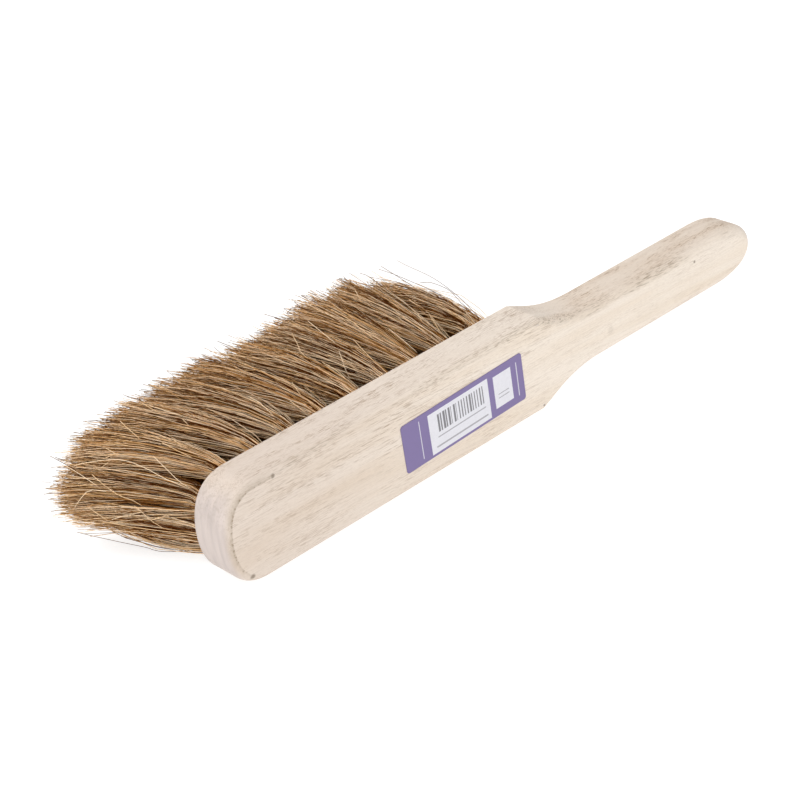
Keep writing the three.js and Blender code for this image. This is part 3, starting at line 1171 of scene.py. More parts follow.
@dataclass
class CoirRows:
    """Four rows of coir tufts that fan out from their holes."""

    plan: TuftPlan
    fibres: int = 1240
    levels: int = 6
    sides: int = 3
    thickness: float = 0.118
    root_share: float = 0.07
    base_spread: float = 2.9
    reach: float = 56.0
    reach_spread: float = 0.16
    spread_along: float = 12.0
    spread_across: tuple[float, ...] = (12.0, 10.5, 9.5, 8.8)
    flare_along: float = 0.78
    flare_across: tuple[float, ...] = (0.36, 0.3, 0.3, 0.42)
    own_side: float = 0.2
    belly: tuple[float, ...] = (-4.0, 0.5, -1.5, 0.0)
    tip_height: tuple[float, ...] = (6.8, 19.5, 31.8, 43.6)
    middle_height: float = 23.0
    front_pull: tuple[float, ...] = (0.9, 0.68, 0.55, 0.5)
    rear_pull: float = 0.5
    corner_fade: float = 16.0
    front_narrowing: tuple[float, ...] = (0.2, -0.3, -0.35, 0.1)
    swells: tuple[Swell, ...] = (Swell(8.0, 13.0, -3.5), Swell(42.0, 14.0, 5.0))
    rise_power: float = 1.5
    pull_power: float = 1.8
    front_lean: tuple[float, ...] = (18.0, 21.0, 25.0, 21.5)
    middle_lean: float = 7.5
    lean_from: float = -35.0
    lean_to: float = 45.0
    rear_lean: float = 3.0
    rear_fade: float = 8.0
    bulge_along: float = 4.0
    bulge_up: float = 2.0
    bulge_fade: float = 8.0
    puff_power: float = 0.5
    puff_scale: float = 2.6
    bend_scale: float = 4.0
    lean_power: float = 1.15
    late_lean: float = 0.35
    late_from: float = -60.0
    late_to: float = -20.0
    wander: float = 5.6
    unruly: float = 8.0
    unruly_power: float = 4.0
    loose_power: float = 1.3
    short_power: float = 1.6
    lock_spread: float = 1.0
    locks: int = 14
    tuft_sway: float = 3.0
    floor_gap: float = 0.3
    floor_layers: float = 3.0
    lock_reach: float = 0.05
    # Share of fibres with dark ends: partly dark cut ends, partly painted shade.
    dark_tips: float = 0.14
    strays: float = 0.05
    lock_tone: float = 0.08
    stray_tone: float = 0.45
    taper: float = 0.2
    taper_power: float = 3.0
    stoutness: Point = (0.7, 0.6)
    roam_place: Point = (7.31, 0.37)
    roam_scale: float = 1.7
    seed: int = 7
    row_seeds: int = 100
    tuft_seeds: int = 10
    LENGTHS: ClassVar[tuple[str, ...]] = (
        "thickness", "base_spread", "reach", "spread_along", "spread_across", "belly", "tip_height",
        "middle_height", "corner_fade", "front_lean", "middle_lean", "lean_from", "lean_to",
        "rear_lean", "rear_fade", "bulge_along", "bulge_up", "bulge_fade", "late_from", "late_to",
        "wander", "unruly", "lock_spread", "tuft_sway", "floor_gap",
    )
    SHARES: ClassVar[tuple[str, ...]] = (
        "reach_spread", "lock_reach", "flare_across", "lean_power", "late_lean", "front_narrowing",
        "front_pull", "rear_pull",
    )

    def of_row(self, name: str, row: int) -> float:
        """Gives a size that may differ from row to row."""
        size = getattr(self, name)
        return size[row] if isinstance(size, tuple) else size

    def sizes(self, row: int, half: Half) -> dict[str, Any]:
        """Gives the tree's inputs for half a row.

        Args:
            row: The row's number, from the lowest.
            half: Which half of it.

        Returns:
            The sizes by name, in metres.
        """
        first, last = self.plan.ends()
        start, stop = half.span(self.plan.counts[row])
        sizes = {
            "tufts": stop - start,
            "first_tuft": self.plan.place(row, start),
            "tuft_pitch": self.plan.pitch * MM,
            "first_end": first * MM,
            "last_end": last * MM,
            "fibres": self.fibres,
            "levels": self.levels,
            "swell": row / (len(self.plan.counts) - 1),
            "seed": self.seed + row * self.row_seeds + start * self.tuft_seeds,
        }
        sizes.update({name: self.of_row(name, row) * MM for name in self.LENGTHS})
        sizes.update({name: self.of_row(name, row) for name in self.SHARES})
        return sizes

    def growth(self, material: bpy.types.Material) -> GeometryTree:
        """Makes the tree that grows one row's fibres.

        Args:
            material: The fibres' material.

        Returns:
            The finished tree.
        """
        tree = GeometryTree("coir_row", self.sizes(0, Half.FRONT))
        line = tree.line(tree["tufts"], tree["first_tuft"], tree["tuft_pitch"])
        tufts = tree.value("GeometryNodeMeshToPoints", None, {"Mesh": line})
        index = tree.value("GeometryNodeInputIndex")
        tufts = tree.store(tufts, "tuft", index, "INT")
        fibres, _ = tree.copies(tufts, tree["fibres"])
        fibres = tree.store(fibres, "fibre", index, "INT")
        points, level = tree.copies(fibres, tree["levels"])
        along = level / (tree["levels"] - 1) * (1 + self.root_share) - self.root_share
        points = tree.store(points, "along", along.apply("MAXIMUM", 0.0))
        sockets = {"Geometry": points, "Position": self.spot(tree, along)}
        points = tree.value("GeometryNodeSetPosition", None, sockets)
        fibre, out = tree.stored("fibre", "INT"), tree.stored("along")
        own_tone = tree.chance(fibre, Draw.TONE) * (1 - self.lock_tone)
        tone = own_tone + tree.chance(self.lock(tree), Draw.LOCK_TONE) * self.lock_tone
        stray_tone = self.stray_tone + tree.chance(fibre, Draw.STRAY_TONE) * self.stray_tone
        points = tree.store(points, "tone", tone.apply("MAXIMUM", self.stray(tree) * stray_tone))
        # The longest fibres get dark ends: partly dark cut ends, partly painted shade.
        longest = tree.chance(fibre, Draw.LENGTH) < self.dark_tips
        points = tree.store(points, "dark_tip", longest)
        taper = 1 - out**self.taper_power * self.taper * (1 - longest)
        thinnest, more = self.stoutness
        stout = tree.chance(fibre, Draw.STOUTNESS) * more + thinnest
        points = tree.store(points, "stout", tree["thickness"] * taper * stout)
        sockets = {"Points": points, "Curve Group ID": fibre, "Weight": out}
        curves = tree.value("GeometryNodePointsToCurves", None, sockets)
        tree.end(tree.swept(curves, self.sides, tree.stored("stout")), material)
        return tree

    def lock(self, tree: GeometryTree) -> Value:
        """Gives the number of the lock that a fibre belongs to."""
        pick = (tree.chance(tree.stored("fibre", "INT"), Draw.LOCK) * self.locks).apply("FLOOR")
        return tree.stored("tuft", "INT") * self.locks + pick

    def rise(self, tree: GeometryTree, x: Value, z: Value, out: Value) -> Value:
        """Gives how far a tuft has risen from its hole, drawn in late at the four corners.

        Args:
            tree: The tree that it belongs to.
            x: Where the tuft stands along the brush.
            z: The height of its hole.
            out: The share of its length.

        Returns:
            The rise in metres.
        """
        front, rear = self.near_ends(tree, x, "corner_fade")
        pull = tree["front_pull"] * front + tree["rear_pull"] * rear
        early = tree["tip_height"] - z
        late = (tree["middle_height"] - tree["tip_height"]) * pull
        for swell in self.swells:
            away = (x - swell.place * MM) / (swell.run * MM)
            late = late + tree["swell"] * (away * away * -1).apply("EXPONENT") * (swell.height * MM)
        return early * (1 - (1 - out) ** self.rise_power) + late * out**self.pull_power

    @staticmethod
    def near_ends(tree: GeometryTree, x: Value, fade: str) -> tuple[Value, Value]:
        """Gives how near a tuft is to the first and to the last one, from 1 down to 0."""
        front = ((tree["first_end"] - x) / tree[fade]).apply("EXPONENT")
        return front, ((x - tree["last_end"]) / tree[fade]).apply("EXPONENT")

    def stray(self, tree: GeometryTree) -> Value:
        """Gives 1 for the few fibres that cross the others."""
        return tree.chance(tree.stored("fibre", "INT"), Draw.STRAY) > 1 - self.strays

    @staticmethod
    def in_disc(tree: GeometryTree, owner: Value, turn: Draw, out: Draw) -> tuple[Value, Value]:
        """Gives each owner a place in a disc of radius 1.

        Args:
            tree: The tree that draws it.
            owner: The whole number that names the owner.
            turn: The draw for the angle.
            out: The draw for the radius.

        Returns:
            The place's two parts.
        """
        angle = tree.chance(owner, turn) * (2 * math.pi)
        radius = tree.chance(owner, out) ** 0.5
        return radius * angle.apply("COSINE"), radius * angle.apply("SINE")

    @staticmethod
    def shift(tree: GeometryTree, owner: Value, draw: Draw) -> Value:
        """Gives each owner a number from -0.5 to 0.5."""
        return tree.chance(owner, draw) - 0.5

    def lean(self, tree: GeometryTree, x: Value, out: Value) -> Value:
        """Gives how far a tuft leans to the nose.

        Args:
            tree: The tree that it belongs to.
            x: Where the tuft stands along the brush.
            out: The share of its length.

        Returns:
            The lean in metres.
        """
        front = 1 - x.eased(tree["lean_from"], tree["lean_to"])
        _, rear = self.near_ends(tree, x, "rear_fade")
        lean = tree["middle_lean"] + (tree["front_lean"] - tree["middle_lean"]) * front
        power = tree["lean_power"] + tree["late_lean"] * x.eased(tree["late_from"], tree["late_to"])
        return (lean - tree["rear_lean"] * rear) * out**power

    def spot(self, tree: GeometryTree, along: Value) -> Value:
        """Works out where a fibre is at a share of its length.

        Args:
            tree: The tree that it belongs to.
            along: The share, from just inside the hole to the tip at 1.

        Returns:
            The place as a vector.
        """
        x, y, z = tree.split(tree.value("GeometryNodeInputPosition"))
        fibre, tuft = tree.stored("fibre", "INT"), tree.stored("tuft", "INT")
        lock = self.lock(tree)
        out = along.apply("MAXIMUM", 0.0)
        flare_x, flare_z = out**self.flare_along, out ** tree["flare_across"]
        root_x, root_z = self.in_disc(tree, fibre, Draw.ROOT_ANGLE, Draw.ROOT_RADIUS)
        free_x, free_z = self.in_disc(tree, fibre, Draw.FREE_ANGLE, Draw.FREE_RADIUS)
        tip_x = root_x * self.own_side + free_x * (1 - self.own_side)
        tip_z = root_z * self.own_side + free_z * (1 - self.own_side)
        nose, _ = self.near_ends(tree, x, "corner_fade")
        wide = tree["spread_along"] * flare_x * (1 + self.stray(tree) * (1 - nose))
        tall = tree["spread_across"] * flare_z * (1 - tree["front_narrowing"] * nose)
        _, last = self.near_ends(tree, x, "bulge_fade")
        puff = last * out**self.puff_power * (1 - out) * self.puff_scale
        bend = out * (1 - out) * self.bend_scale
        step, plane = self.roam_place
        roaming = tree.noise(tree.join(fibre * step, out * self.roam_scale, plane), 1.0, "Color")
        roam_x, roam_z, _ = tree.split(roaming)
        unruly = tree["unruly"] * tree.chance(fibre, Draw.UNRULY) ** self.unruly_power
        loose = (tree["wander"] + unruly) * out**self.loose_power * 2
        spread = tree["lock_spread"] * 2 * out
        sway = tree["tuft_sway"] * out * out
        new_x = (
            x
            - self.lean(tree, x, out)
            + tree["bulge_along"] * puff
            + root_x * tree["base_spread"] * (1 - flare_x)
            + tip_x * wide
            + self.shift(tree, lock, Draw.LOCK_ALONG) * spread
            + self.shift(tree, tuft, Draw.TUFT_ALONG) * sway
            + (roam_x - 0.5) * loose
        )
        new_z = (
            z
            + self.rise(tree, x, z, out)
            + tree["belly"] * bend
            + tree["bulge_up"] * puff
            + root_z * tree["base_spread"] * (1 - flare_z)
            + tip_z * tall
            + self.shift(tree, lock, Draw.LOCK_UP) * spread
            + self.shift(tree, tuft, Draw.TUFT_UP) * sway
            + (roam_z - 0.5) * loose
        )
        layer = 1 + tree.chance(fibre, Draw.FLOOR_LAYER) * self.floor_layers
        short = tree["reach_spread"] * tree.chance(fibre, Draw.LENGTH) ** self.short_power
        uneven = tree["lock_reach"] * self.shift(tree, lock, Draw.LOCK_LENGTH)
        reach = tree["reach"] * (1 - short + uneven)
        lowest = tree["floor_gap"] * layer
        return tree.join(new_x, y + reach * along, new_z.apply("MAXIMUM", lowest))

    def build(self, material: bpy.types.Material) -> list[bpy.types.Object]:
        """Grows all the rows.

        Args:
            material: The fibres' material.

        Returns:
            Two pieces for each row.
        """
        tree = self.growth(material)
        pieces = []
        for row in range(len(self.plan.counts)):
            for half in Half:
                name = f"coir_row_{row + 1}_{half.value}"
                mesh = tree.grow(name, self.sizes(row, half), bpy.data.meshes.new("start"))
                pieces.append(add_piece(name, mesh, Slot.COIR, f"bristle_row_{row + 1}"))
        return pieces


class Tone(Enum):
    """How light a loose fibre is, from dark brown at 0 to straw at 1."""

    DARK = 0.18
    BROWN = 0.25
    STRAW = 0.68
    PALE = 0.95


@dataclass(frozen=True)
class Route:
    """A loose fibre's way: its tone and its points in millimetres."""

    tone: Tone
    points: Sequence[Sequence[float]]


@dataclass(frozen=True)
class Trace:
    """A fibre as the photograph shows it: its tone and some pixels that it passes."""

    tone: Tone
    pixels: tuple[Point, ...]


class Plane(Enum):
    """The axis that a clear fibre's places are measured on: out of the stock, or up from the floor."""

    OUT = 1
    UP = 2


@dataclass(frozen=True)
class Stray:
    """A fibre that stands clear: its tone, its first places in millimetres and the marks that it passes.

    A mark is a pixel of the photograph and how far out or up the fibre is there, in millimetres.
    """

    tone: Tone
    start: tuple[Place, ...]
    marks: tuple[tuple[float, float, float], ...]
    plane: Plane = Plane.OUT


TOP_END_HOLE = (63.8, 9.0, 35.2)
TOP_NEXT_HOLE = (48.2, 9.0, 35.2)
NOSE_HOLE = (-68.8, 9.0, 16.0)
LOW_NOSE_HOLE = (-61.0, 9.0, 6.4)


class Clear(Enum):
    """The long fibres that stand clear of the others."""

    TOP_HIGH = Stray(
        Tone.DARK,
        (TOP_END_HOLE,),
        (
            (479.3, 320.6, 11), (466.5, 304.3, 18), (455.3, 294, 24), (442, 283.9, 31),
            (427.8, 275.2, 39), (406.3, 265.5, 51), (397, 260.4, 56),
        ),
    )
    TOP_BENT = Stray(
        Tone.DARK,
        (TOP_END_HOLE,),
        (
            (473.7, 315.5, 13), (460.4, 302.2, 20), (450.2, 291, 25), (438, 284.9, 31),
            (428.8, 282.3, 36), (419.6, 282.9, 42),
        ),
    )
    TOP_STUB = Stray(Tone.DARK, (TOP_END_HOLE,), ((479.3, 320.6, 11), (474.7, 312, 14)))
    TOP_LONG = Stray(
        Tone.BROWN,
        (TOP_END_HOLE, (67.0, 20.0, 40.5)),
        ((445.1, 298.7, 30), (431.8, 290.5, 37), (415.5, 283.4, 46), (395.1, 274.7, 57), (378.3, 269, 66)),
    )
    TOP_STEEP = Stray(
        Tone.BROWN,
        (TOP_END_HOLE, (66.5, 25.0, 40.0)),
        ((421.6, 292, 42), (401.2, 278.8, 52), (380.8, 266, 62)),
    )
    TOP_INNER = Stray(
        Tone.BROWN, (TOP_NEXT_HOLE, (53.0, 30.0, 42.0)), ((373.7, 279.8, 56), (359.9, 273.2, 63))
    )
    FLOOR_LONG = Stray(
        Tone.DARK,
        (LOW_NOSE_HOLE, (-64.0, 15.0, 2.0)),
        (
            (200.8, 550.4, 0.5), (162, 551.4, 0.5), (145.7, 547.3, 0.5), (121.2, 542.2, 0.5),
            (95.7, 536.6, 0.5), (76.8, 532, 0.5),
        ),
        Plane.UP,
    )
    FLOOR_BESIDE = Stray(
        Tone.DARK,
        (LOW_NOSE_HOLE, (-64.0, 15.0, 2.2)),
        (
            (200.8, 549.9, 0.8), (172.2, 549.4, 0.7), (148.8, 544.8, 0.6), (137.6, 540.2, 0.6),
            (121.2, 536.1, 0.6),
        ),
        Plane.UP,
    )
    NOSE_LONG = Stray(
        Tone.DARK, (NOSE_HOLE, (-83.0, 30.0, 17.5)), ((110, 520, 45), (78.4, 514.2, 60), (60, 513.2, 66))
    )


class Lying(Enum):
    """The fibres that lie across the others."""

    NOSE_SWEEP = Trace(
        Tone.PALE, ((190, 489), (166, 479), (144, 467.5), (122, 460), (97, 461), (74, 465.5))
    )
    NOSE_CROSSING = Trace(Tone.PALE, ((153, 456), (165, 467.5), (180, 482), (192, 489)))
    NOSE_TOP = Trace(Tone.STRAW, ((142, 403), (152, 409), (161, 413.5)))
    NOSE_TOP_LONG = Trace(Tone.PALE, ((149, 405.5), (165, 410.5), (187, 417.5)))
    NOSE_SHORT = Trace(Tone.STRAW, ((182, 418.5), (186, 422.5), (190, 427)))
    NOSE_INNER = Trace(Tone.STRAW, ((174, 440.5), (180, 444), (186, 446.5)))
    NOSE_INNER_LONG = Trace(Tone.STRAW, ((162, 442.5), (178, 451), (193, 458)))
    NOSE_LOW = Trace(Tone.STRAW, ((108, 488), (120, 496), (132, 500), (142, 506)))
    TIP_HIGH = Trace(Tone.STRAW, ((120, 421), (128, 428.5), (141, 440)))
    TIP_FORK = Trace(Tone.STRAW, ((106, 448), (114, 453), (120, 455)))
    TIP_FORK_BACK = Trace(Tone.STRAW, ((118, 453), (111, 455.5), (103, 459)))
    TIP_HOOK = Trace(Tone.STRAW, ((111, 460), (107, 463), (101, 468)))
    TIP_LONG = Trace(Tone.PALE, ((66, 466), (78, 473), (98, 486.5)))
    TIP_INNER = Trace(Tone.STRAW, ((92, 474.5), (98, 480), (109, 489)))
    TIP_CURL = Trace(Tone.PALE, ((106, 491.5), (90, 490), (82, 497), (75, 507)))
    FLOOR_TIP = Trace(Tone.STRAW, ((88, 507), (95, 512), (107, 520)))
    FLOOR_FLAT = Trace(Tone.PALE, ((112, 519.5), (128, 515), (144, 512)))
    FLOOR_LONG = Trace(Tone.STRAW, ((134, 505.5), (145, 515), (150, 520), (163, 528)))
    FLOOR_CROSSING = Trace(Tone.STRAW, ((151, 520), (166, 516), (175, 514)))
    MIDDLE_LEFT = Trace(Tone.PALE, ((248, 396.5), (260, 403), (274, 416.5)))
    MIDDLE_SHORT = Trace(Tone.STRAW, ((292, 382), (296, 388.5), (302, 397)))
    MIDDLE_INNER = Trace(Tone.STRAW, ((290, 401), (297, 406), (308, 415)))
    MIDDLE_BEND = Trace(Tone.STRAW, ((292, 334), (298, 345), (300, 351), (308, 359)))
    MIDDLE_TOP = Trace(Tone.PALE, ((308, 321), (319, 330), (335, 343)))
    MIDDLE_STEEP = Trace(Tone.PALE, ((339, 351), (342, 359), (346, 371), (350, 378)))
    MIDDLE_RIGHT = Trace(Tone.STRAW, ((353, 339), (364, 351), (373, 360)))
    MIDDLE_LONG = Trace(Tone.STRAW, ((331, 309), (350, 320), (360, 328), (375, 340)))
    MIDDLE_LOW = Trace(Tone.STRAW, ((322, 362), (337, 371), (347, 380)))
    MIDDLE_TIP = Trace(Tone.STRAW, ((355, 290), (359, 297), (361, 301)))
    FAR_LONG = Trace(Tone.PALE, ((389, 329), (404, 341), (417, 352.5)))
    FAR_STEEP = Trace(Tone.STRAW, ((430, 316), (435, 323), (440, 332)))
    FAR_SHORT = Trace(Tone.STRAW, ((418, 314), (420, 318), (422, 321)))
    FAR_TIP = Trace(Tone.STRAW, ((409, 300), (415, 303.5), (421, 307.5)))


class Jutting(Enum):
    """The fibres that stand out of the coir's edge."""

    TOP_ARCH = Trace(Tone.DARK, ((310, 311), (302, 307.5), (292, 307.5), (287, 313)))
    TOP_LONG = Trace(Tone.DARK, ((290, 321), (274, 317), (264, 314)))
    TOP_SHORT = Trace(Tone.DARK, ((292, 325), (280, 322), (274, 322)))
    TOP_LOW = Trace(Tone.DARK, ((283, 331), (276, 329.5), (271, 328)))
    NOSE_TOP = Trace(Tone.DARK, ((112, 421), (102, 420), (83, 421.5)))
    NOSE_TOP_BESIDE = Trace(Tone.DARK, ((114, 428), (92, 424), (83, 424)))
    NOSE_MIDDLE = Trace(Tone.DARK, ((100, 436), (88, 434.5), (73, 432)))
    TIP_LONG = Trace(Tone.DARK, ((76, 470), (65, 464), (50, 456)))
    TIP_MIDDLE = Trace(Tone.DARK, ((75, 480), (58, 477.5), (52, 476)))
    TIP_LOW = Trace(Tone.DARK, ((76, 488), (66, 487), (53, 484)))
    FLOOR_LONG = Trace(Tone.DARK, ((98, 520), (75, 515), (67, 513.5), (58, 513)))


def curve_through(points: Sequence[Point], step: float) -> list[Point]:
    """Samples a smooth curve through some points.

    Args:
        points: The points, in order.
        step: About how far apart the samples are.

    Returns:
        The samples, from the first point to the last.
    """
    found = []
    ends = [points[0], *points, points[-1]]
    for before, start, end, after in zip(ends, ends[1:], ends[2:], ends[3:]):
        leave = tuple(s + (e - b) / 6 for b, s, e in zip(before, start, end))
        arrive = tuple(e - (a - s) / 6 for s, e, a in zip(start, end, after))
        found += bezier((start, leave, arrive, end), max(1, round(math.dist(start, end) / step)))
    return found + [points[-1]]


def softened(values: Sequence[float]) -> list[float]:
    """Evens out a row of numbers and keeps its two ends."""
    inner = [(a + 2 * b + c) / 4 for a, b, c in zip(values, values[1:], values[2:])]
    return [values[0], *inner, values[-1]]


@dataclass
class Sight:
    """Looks at some pieces through a pixel of the photograph."""

    camera: bpy.types.Object
    pieces: Sequence[bpy.types.Object]
    photo_side: float = 800.0
    pixel_reach: float = 1.5

    def __post_init__(self) -> None:
        """Makes the pieces ready for rays."""
        depsgraph = bpy.context.evaluated_depsgraph_get()
        self.trees = [BVHTree.FromObject(piece, depsgraph) for piece in self.pieces]
        self.eye = self.camera.matrix_world.translation

    def ray(self, pixel: Point) -> Vector:
        """Looks from the camera through a pixel.

        Args:
            pixel: The place in the photograph.

        Returns:
            The direction.
        """
        lens = self.camera.data
        spread = lens.sensor_width / lens.lens / self.photo_side
        across, down = (part - self.photo_side / 2 for part in pixel)
        way = Vector((across * spread, -down * spread, -1.0))
        return (self.camera.matrix_world.to_3x3() @ way).normalized()

    def distance(self, pixel: Point) -> float:
        """Finds the nearest surface at a pixel or close beside it.

        Args:
            pixel: The place in the photograph.

        Returns:
            How far it is from the camera in metres, or infinity where there is none.
        """
        shifts = [self.pixel_reach * k / 2 for k in range(-2, 3)]
        rays = [self.ray((pixel[0] + across, pixel[1] + down)) for across in shifts for down in shifts]
        hits = [tree.ray_cast(self.eye, ray)[3] for ray in rays for tree in self.trees]
        return min((hit for hit in hits if hit is not None), default=math.inf)

    def spot(self, pixel: Point, distance: float) -> Vector:
        """Gives the place in millimetres that a pixel shows at a distance in metres."""
        return (self.eye + self.ray(pixel) * distance) / MM

    def crossing(self, pixel: Point, plane: Plane, level: float) -> Vector:
        """Finds where the sight through a pixel crosses a plane.

        Args:
            pixel: The place in the photograph.
            plane: The axis that the plane is square to.
            level: Where the plane is on that axis, in millimetres.

        Returns:
            The place in millimetres.
        """
        axis = plane.value
        return self.spot(pixel, (level * MM - self.eye[axis]) / self.ray(pixel)[axis])


@dataclass
class LooseFibres:
    """Single long fibres that have come away from their tufts."""

    sight: Sight
    radius: float = 0.12
    step: float = 2.5
    sides: int = 3
    pixel_step: float = 6.0
    lift: float = 0.7
    tuck: float = 2.2
    lean: float = 0.5

    def standing(self, stray: Stray) -> Route:
        """Leads a fibre from its hole past its marks.

        Args:
            stray: The fibre's start and the marks that it passes.

        Returns:
            The fibre's way.
        """
        passed = [self.sight.crossing(mark[:2], stray.plane, mark[2]) for mark in stray.marks]
        return Route(stray.tone, [*stray.start, *passed])

    def lying(self, trace: Trace) -> Route:
        """Lays a fibre on the others, with both ends tucked in.

        Args:
            trace: The pixels that it passes.

        Returns:
            The fibre's way over the coir.
        """
        pixels = curve_through(trace.pixels, self.pixel_step)
        found = [self.sight.distance(pixel) for pixel in pixels]
        nearest = [min(found[max(0, k - 1) : k + 2]) for k in range(len(found))]
        eased = softened(softened(softened(nearest)))
        way = softened([min(pair) for pair in zip(eased, found)])
        way = [distance - self.lift * MM for distance in way]
        way[0] += self.tuck * MM
        way[-1] += self.tuck * MM
        return Route(trace.tone, [self.sight.spot(*pair) for pair in zip(pixels, way)])

    def jutting(self, trace: Trace) -> Route:
        """Lets a fibre stand out from the coir where its trace begins.

        Args:
            trace: The pixels that it passes.

        Returns:
            The fibre's way, a little farther off with each step.
        """
        pixels = curve_through(trace.pixels, self.pixel_step)
        start = self.sight.distance(pixels[0])
        way = [start + self.lean * MM * k for k in range(len(pixels))]
        way[0] += self.tuck * MM
        return Route(trace.tone, [self.sight.spot(*pair) for pair in zip(pixels, way)])

    def routes(self) -> list[Route]:
        """Finds every fibre's way.

        Returns:
            The fibres that stand clear, those that lie on the coir and those that jut out.
        """
        standing = [self.standing(fibre.value) for fibre in Clear]
        lying = [self.lying(fibre.value) for fibre in Lying]
        jutting = [self.jutting(fibre.value) for fibre in Jutting]
        return [*standing, *lying, *jutting]

    def sizes(self) -> dict[str, Any]:
        """Gives the tree's inputs, in metres."""
        return {"radius": self.radius * MM, "step": self.step * MM}

    def growth(self, material: bpy.types.Material) -> GeometryTree:
        """Makes the tree that turns lines into fibres.

        Args:
            material: The fibres' material.

        Returns:
            The finished tree.
        """
        tree = GeometryTree("loose_fibres", self.sizes())
        lines = tree.value("GeometryNodeMeshToCurve", None, {"Mesh": tree["Geometry"]})
        smooth = {"spline_type": "CATMULL_ROM"}
        lines = tree.value("GeometryNodeCurveSplineType", smooth, {"Curve": lines})
        sockets = {"Curve": lines, "Length": tree["step"]}
        lines = tree.value("GeometryNodeResampleCurve", {"mode": "LENGTH"}, sockets)
        tree.end(tree.swept(lines, self.sides, tree["radius"]), material)
        return tree

    def lines(self) -> bpy.types.Mesh:
        """Draws the routes as plain edges.

        Returns:
            The edges, with each point's tone and share of the way.
        """
        spots, edges, tones, shares = [], [], [], []
        for route in self.routes():
            last = len(route.points) - 1
            edges += [(len(spots) + k, len(spots) + k + 1) for k in range(last)]
            spots += [tuple(part * MM for part in point) for point in route.points]
            tones += [route.tone.value] * len(route.points)
            shares += [k / last for k in range(last + 1)]
        mesh = bpy.data.meshes.new("loose_lines")
        mesh.from_pydata(spots, edges, [])
        mesh.attributes.new("tone", "FLOAT", "POINT").data.foreach_set("value", tones)
        mesh.attributes.new("along", "FLOAT", "POINT").data.foreach_set("value", shares)
        return mesh

    def build(self, material: bpy.types.Material) -> bpy.types.Object:
        """Grows the fibres as one piece."""
        mesh = self.growth(material).grow("loose_fibres", self.sizes(), self.lines())
        return add_piece("loose_fibres", mesh, Slot.COIR)


@dataclass
class Staples:
    """The wire staples at the bottom of the holes, kept from the frame."""

    prefix: str = "tuft_staple"

    def dress(self, material: bpy.types.Material) -> None:
        """Gives every staple its finish.

        Args:
            material: The wire's material.
        """
        names = sorted(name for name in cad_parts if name.startswith(self.prefix))
        for name in names:
            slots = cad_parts[name].material_slots
            for slot in slots:
                slot.material = material
        LOG.info("%d staples dressed", len(names))


@dataclass(frozen=True)
class Softbox:
    """A square area light: its place and its side in metres, and its power in watts."""

    name: str
    place: Place
    side: float
    power: float


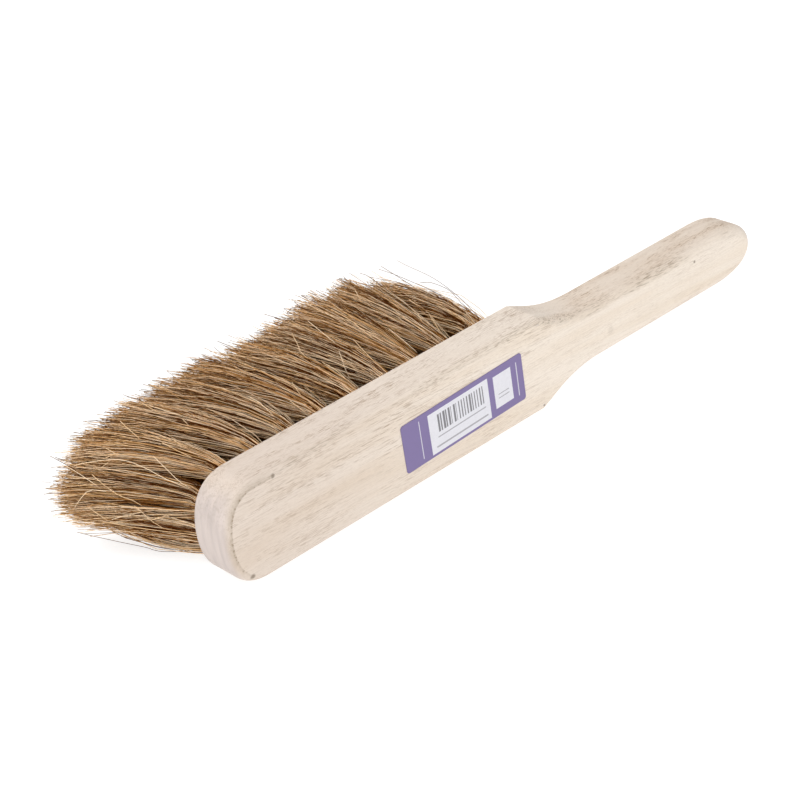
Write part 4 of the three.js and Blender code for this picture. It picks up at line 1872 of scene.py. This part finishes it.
@dataclass
class Studio:
    """A pale floor, soft light and the camera, in metres."""

    camera_place: Place = (-0.40986, -0.51016, 0.41151)
    camera_target: Place = (0.00622, -0.009, 0.04011)
    camera_roll: float = math.radians(-7.3176)
    lens: float = 92.319
    sensor: float = 36.0
    nearest: float = 0.01
    floor_size: float = 12.0
    floor_drop: float = 0.0002
    floor_grey: Colour = (0.4, 0.4, 0.4, 1.0)
    floor_glow: float = 0.75
    sky: float = 0.55
    white: Colour = (1.0, 1.0, 1.0, 1.0)
    softboxes: tuple[Softbox, ...] = (
        Softbox("key", (0.45, -1.35, 0.8), 1.1, 6.5),
        Softbox("top", (-0.6, 0.2, 1.1), 0.5, 6.8),
        Softbox("fill", (-1.2, -0.35, 0.22), 1.0, 4.8),
        Softbox("back", (0.1, 1.3, 0.75), 1.0, 5.0),
    )

    def build(self) -> bpy.types.Object:
        """Builds the floor, the lights and the camera.

        Returns:
            The camera.
        """
        self.add_floor()
        self.add_lights()
        return self.add_camera()

    def add_camera(self) -> bpy.types.Object:
        """Puts the camera where the photograph was taken from.

        Returns:
            The camera.
        """
        data = bpy.data.cameras.new("camera")
        data.sensor_width = self.sensor
        data.lens = self.lens
        data.clip_start = self.nearest
        camera = bpy.data.objects.new("camera", data)
        camera.matrix_world = self.aimed(self.camera_place) @ Matrix.Rotation(self.camera_roll, 4, "Z")
        bpy.context.scene.collection.objects.link(camera)
        bpy.context.scene.camera = camera
        return camera

    def aimed(self, place: Place) -> Matrix:
        """Gives the matrix of a thing that faces the brush from a place."""
        way = Vector(self.camera_target) - Vector(place)
        return Matrix.Translation(place) @ way.to_track_quat("-Z", "Y").to_matrix().to_4x4()

    def add_floor(self) -> None:
        """Lays a pale floor just under the brush."""
        half, z = self.floor_size / 2, -self.floor_drop
        mesh = bpy.data.meshes.new("floor")
        corners = [(-half, -half, z), (half, -half, z), (half, half, z), (-half, half, z)]
        mesh.from_pydata(corners, [], [(0, 1, 2, 3)])
        graph = MaterialGraph(
            "floor_white",
            Base_Color=self.floor_grey,
            Roughness=0.9,
            Specular_IOR_Level=0.1,
            Emission_Color=self.white,
            Emission_Strength=self.floor_glow,
        )
        mesh.materials.append(graph.material)
        floor = bpy.data.objects.new("floor", mesh)
        bpy.context.scene.collection.objects.link(floor)

    def add_lights(self) -> None:
        """Adds an even sky, white where it shows, and the soft lights."""
        scene = bpy.context.scene
        scene.view_settings.view_transform = "Standard"
        world = bpy.data.worlds.new("sky")
        world.use_nodes = True
        graph = NodeGraph(world.node_tree)
        graph.tree.nodes.clear()
        seen = graph.value("ShaderNodeLightPath", output="Is Camera Ray")
        strength = self.sky + seen * (1 - self.sky)
        sky = graph.value("ShaderNodeBackground", None, {"Color": self.white, "Strength": strength})
        graph.node("ShaderNodeOutputWorld", None, {"Surface": sky})
        scene.world = world
        for softbox in self.softboxes:
            data = bpy.data.lights.new(softbox.name, "AREA")
            data.size = softbox.side
            data.energy = softbox.power
            light = bpy.data.objects.new(softbox.name, data)
            light.matrix_world = self.aimed(softbox.place)
            scene.collection.objects.link(light)


def main() -> None:
    """Builds the brush, its light and its camera."""
    logging.basicConfig(level=logging.INFO, format="%(message)s")
    camera = Studio().build()
    plan = TuftPlan()
    WoodenStock(plan).build(BeechFinish().material())
    PaperLabel().build(LabelFinish().material())
    coir = CoirFinish().material()
    rows = CoirRows(plan).build(coir)
    LooseFibres(Sight(camera, rows)).build(coir)
    Staples().dress(WireFinish().material())


if __name__ == "__main__":
    main()
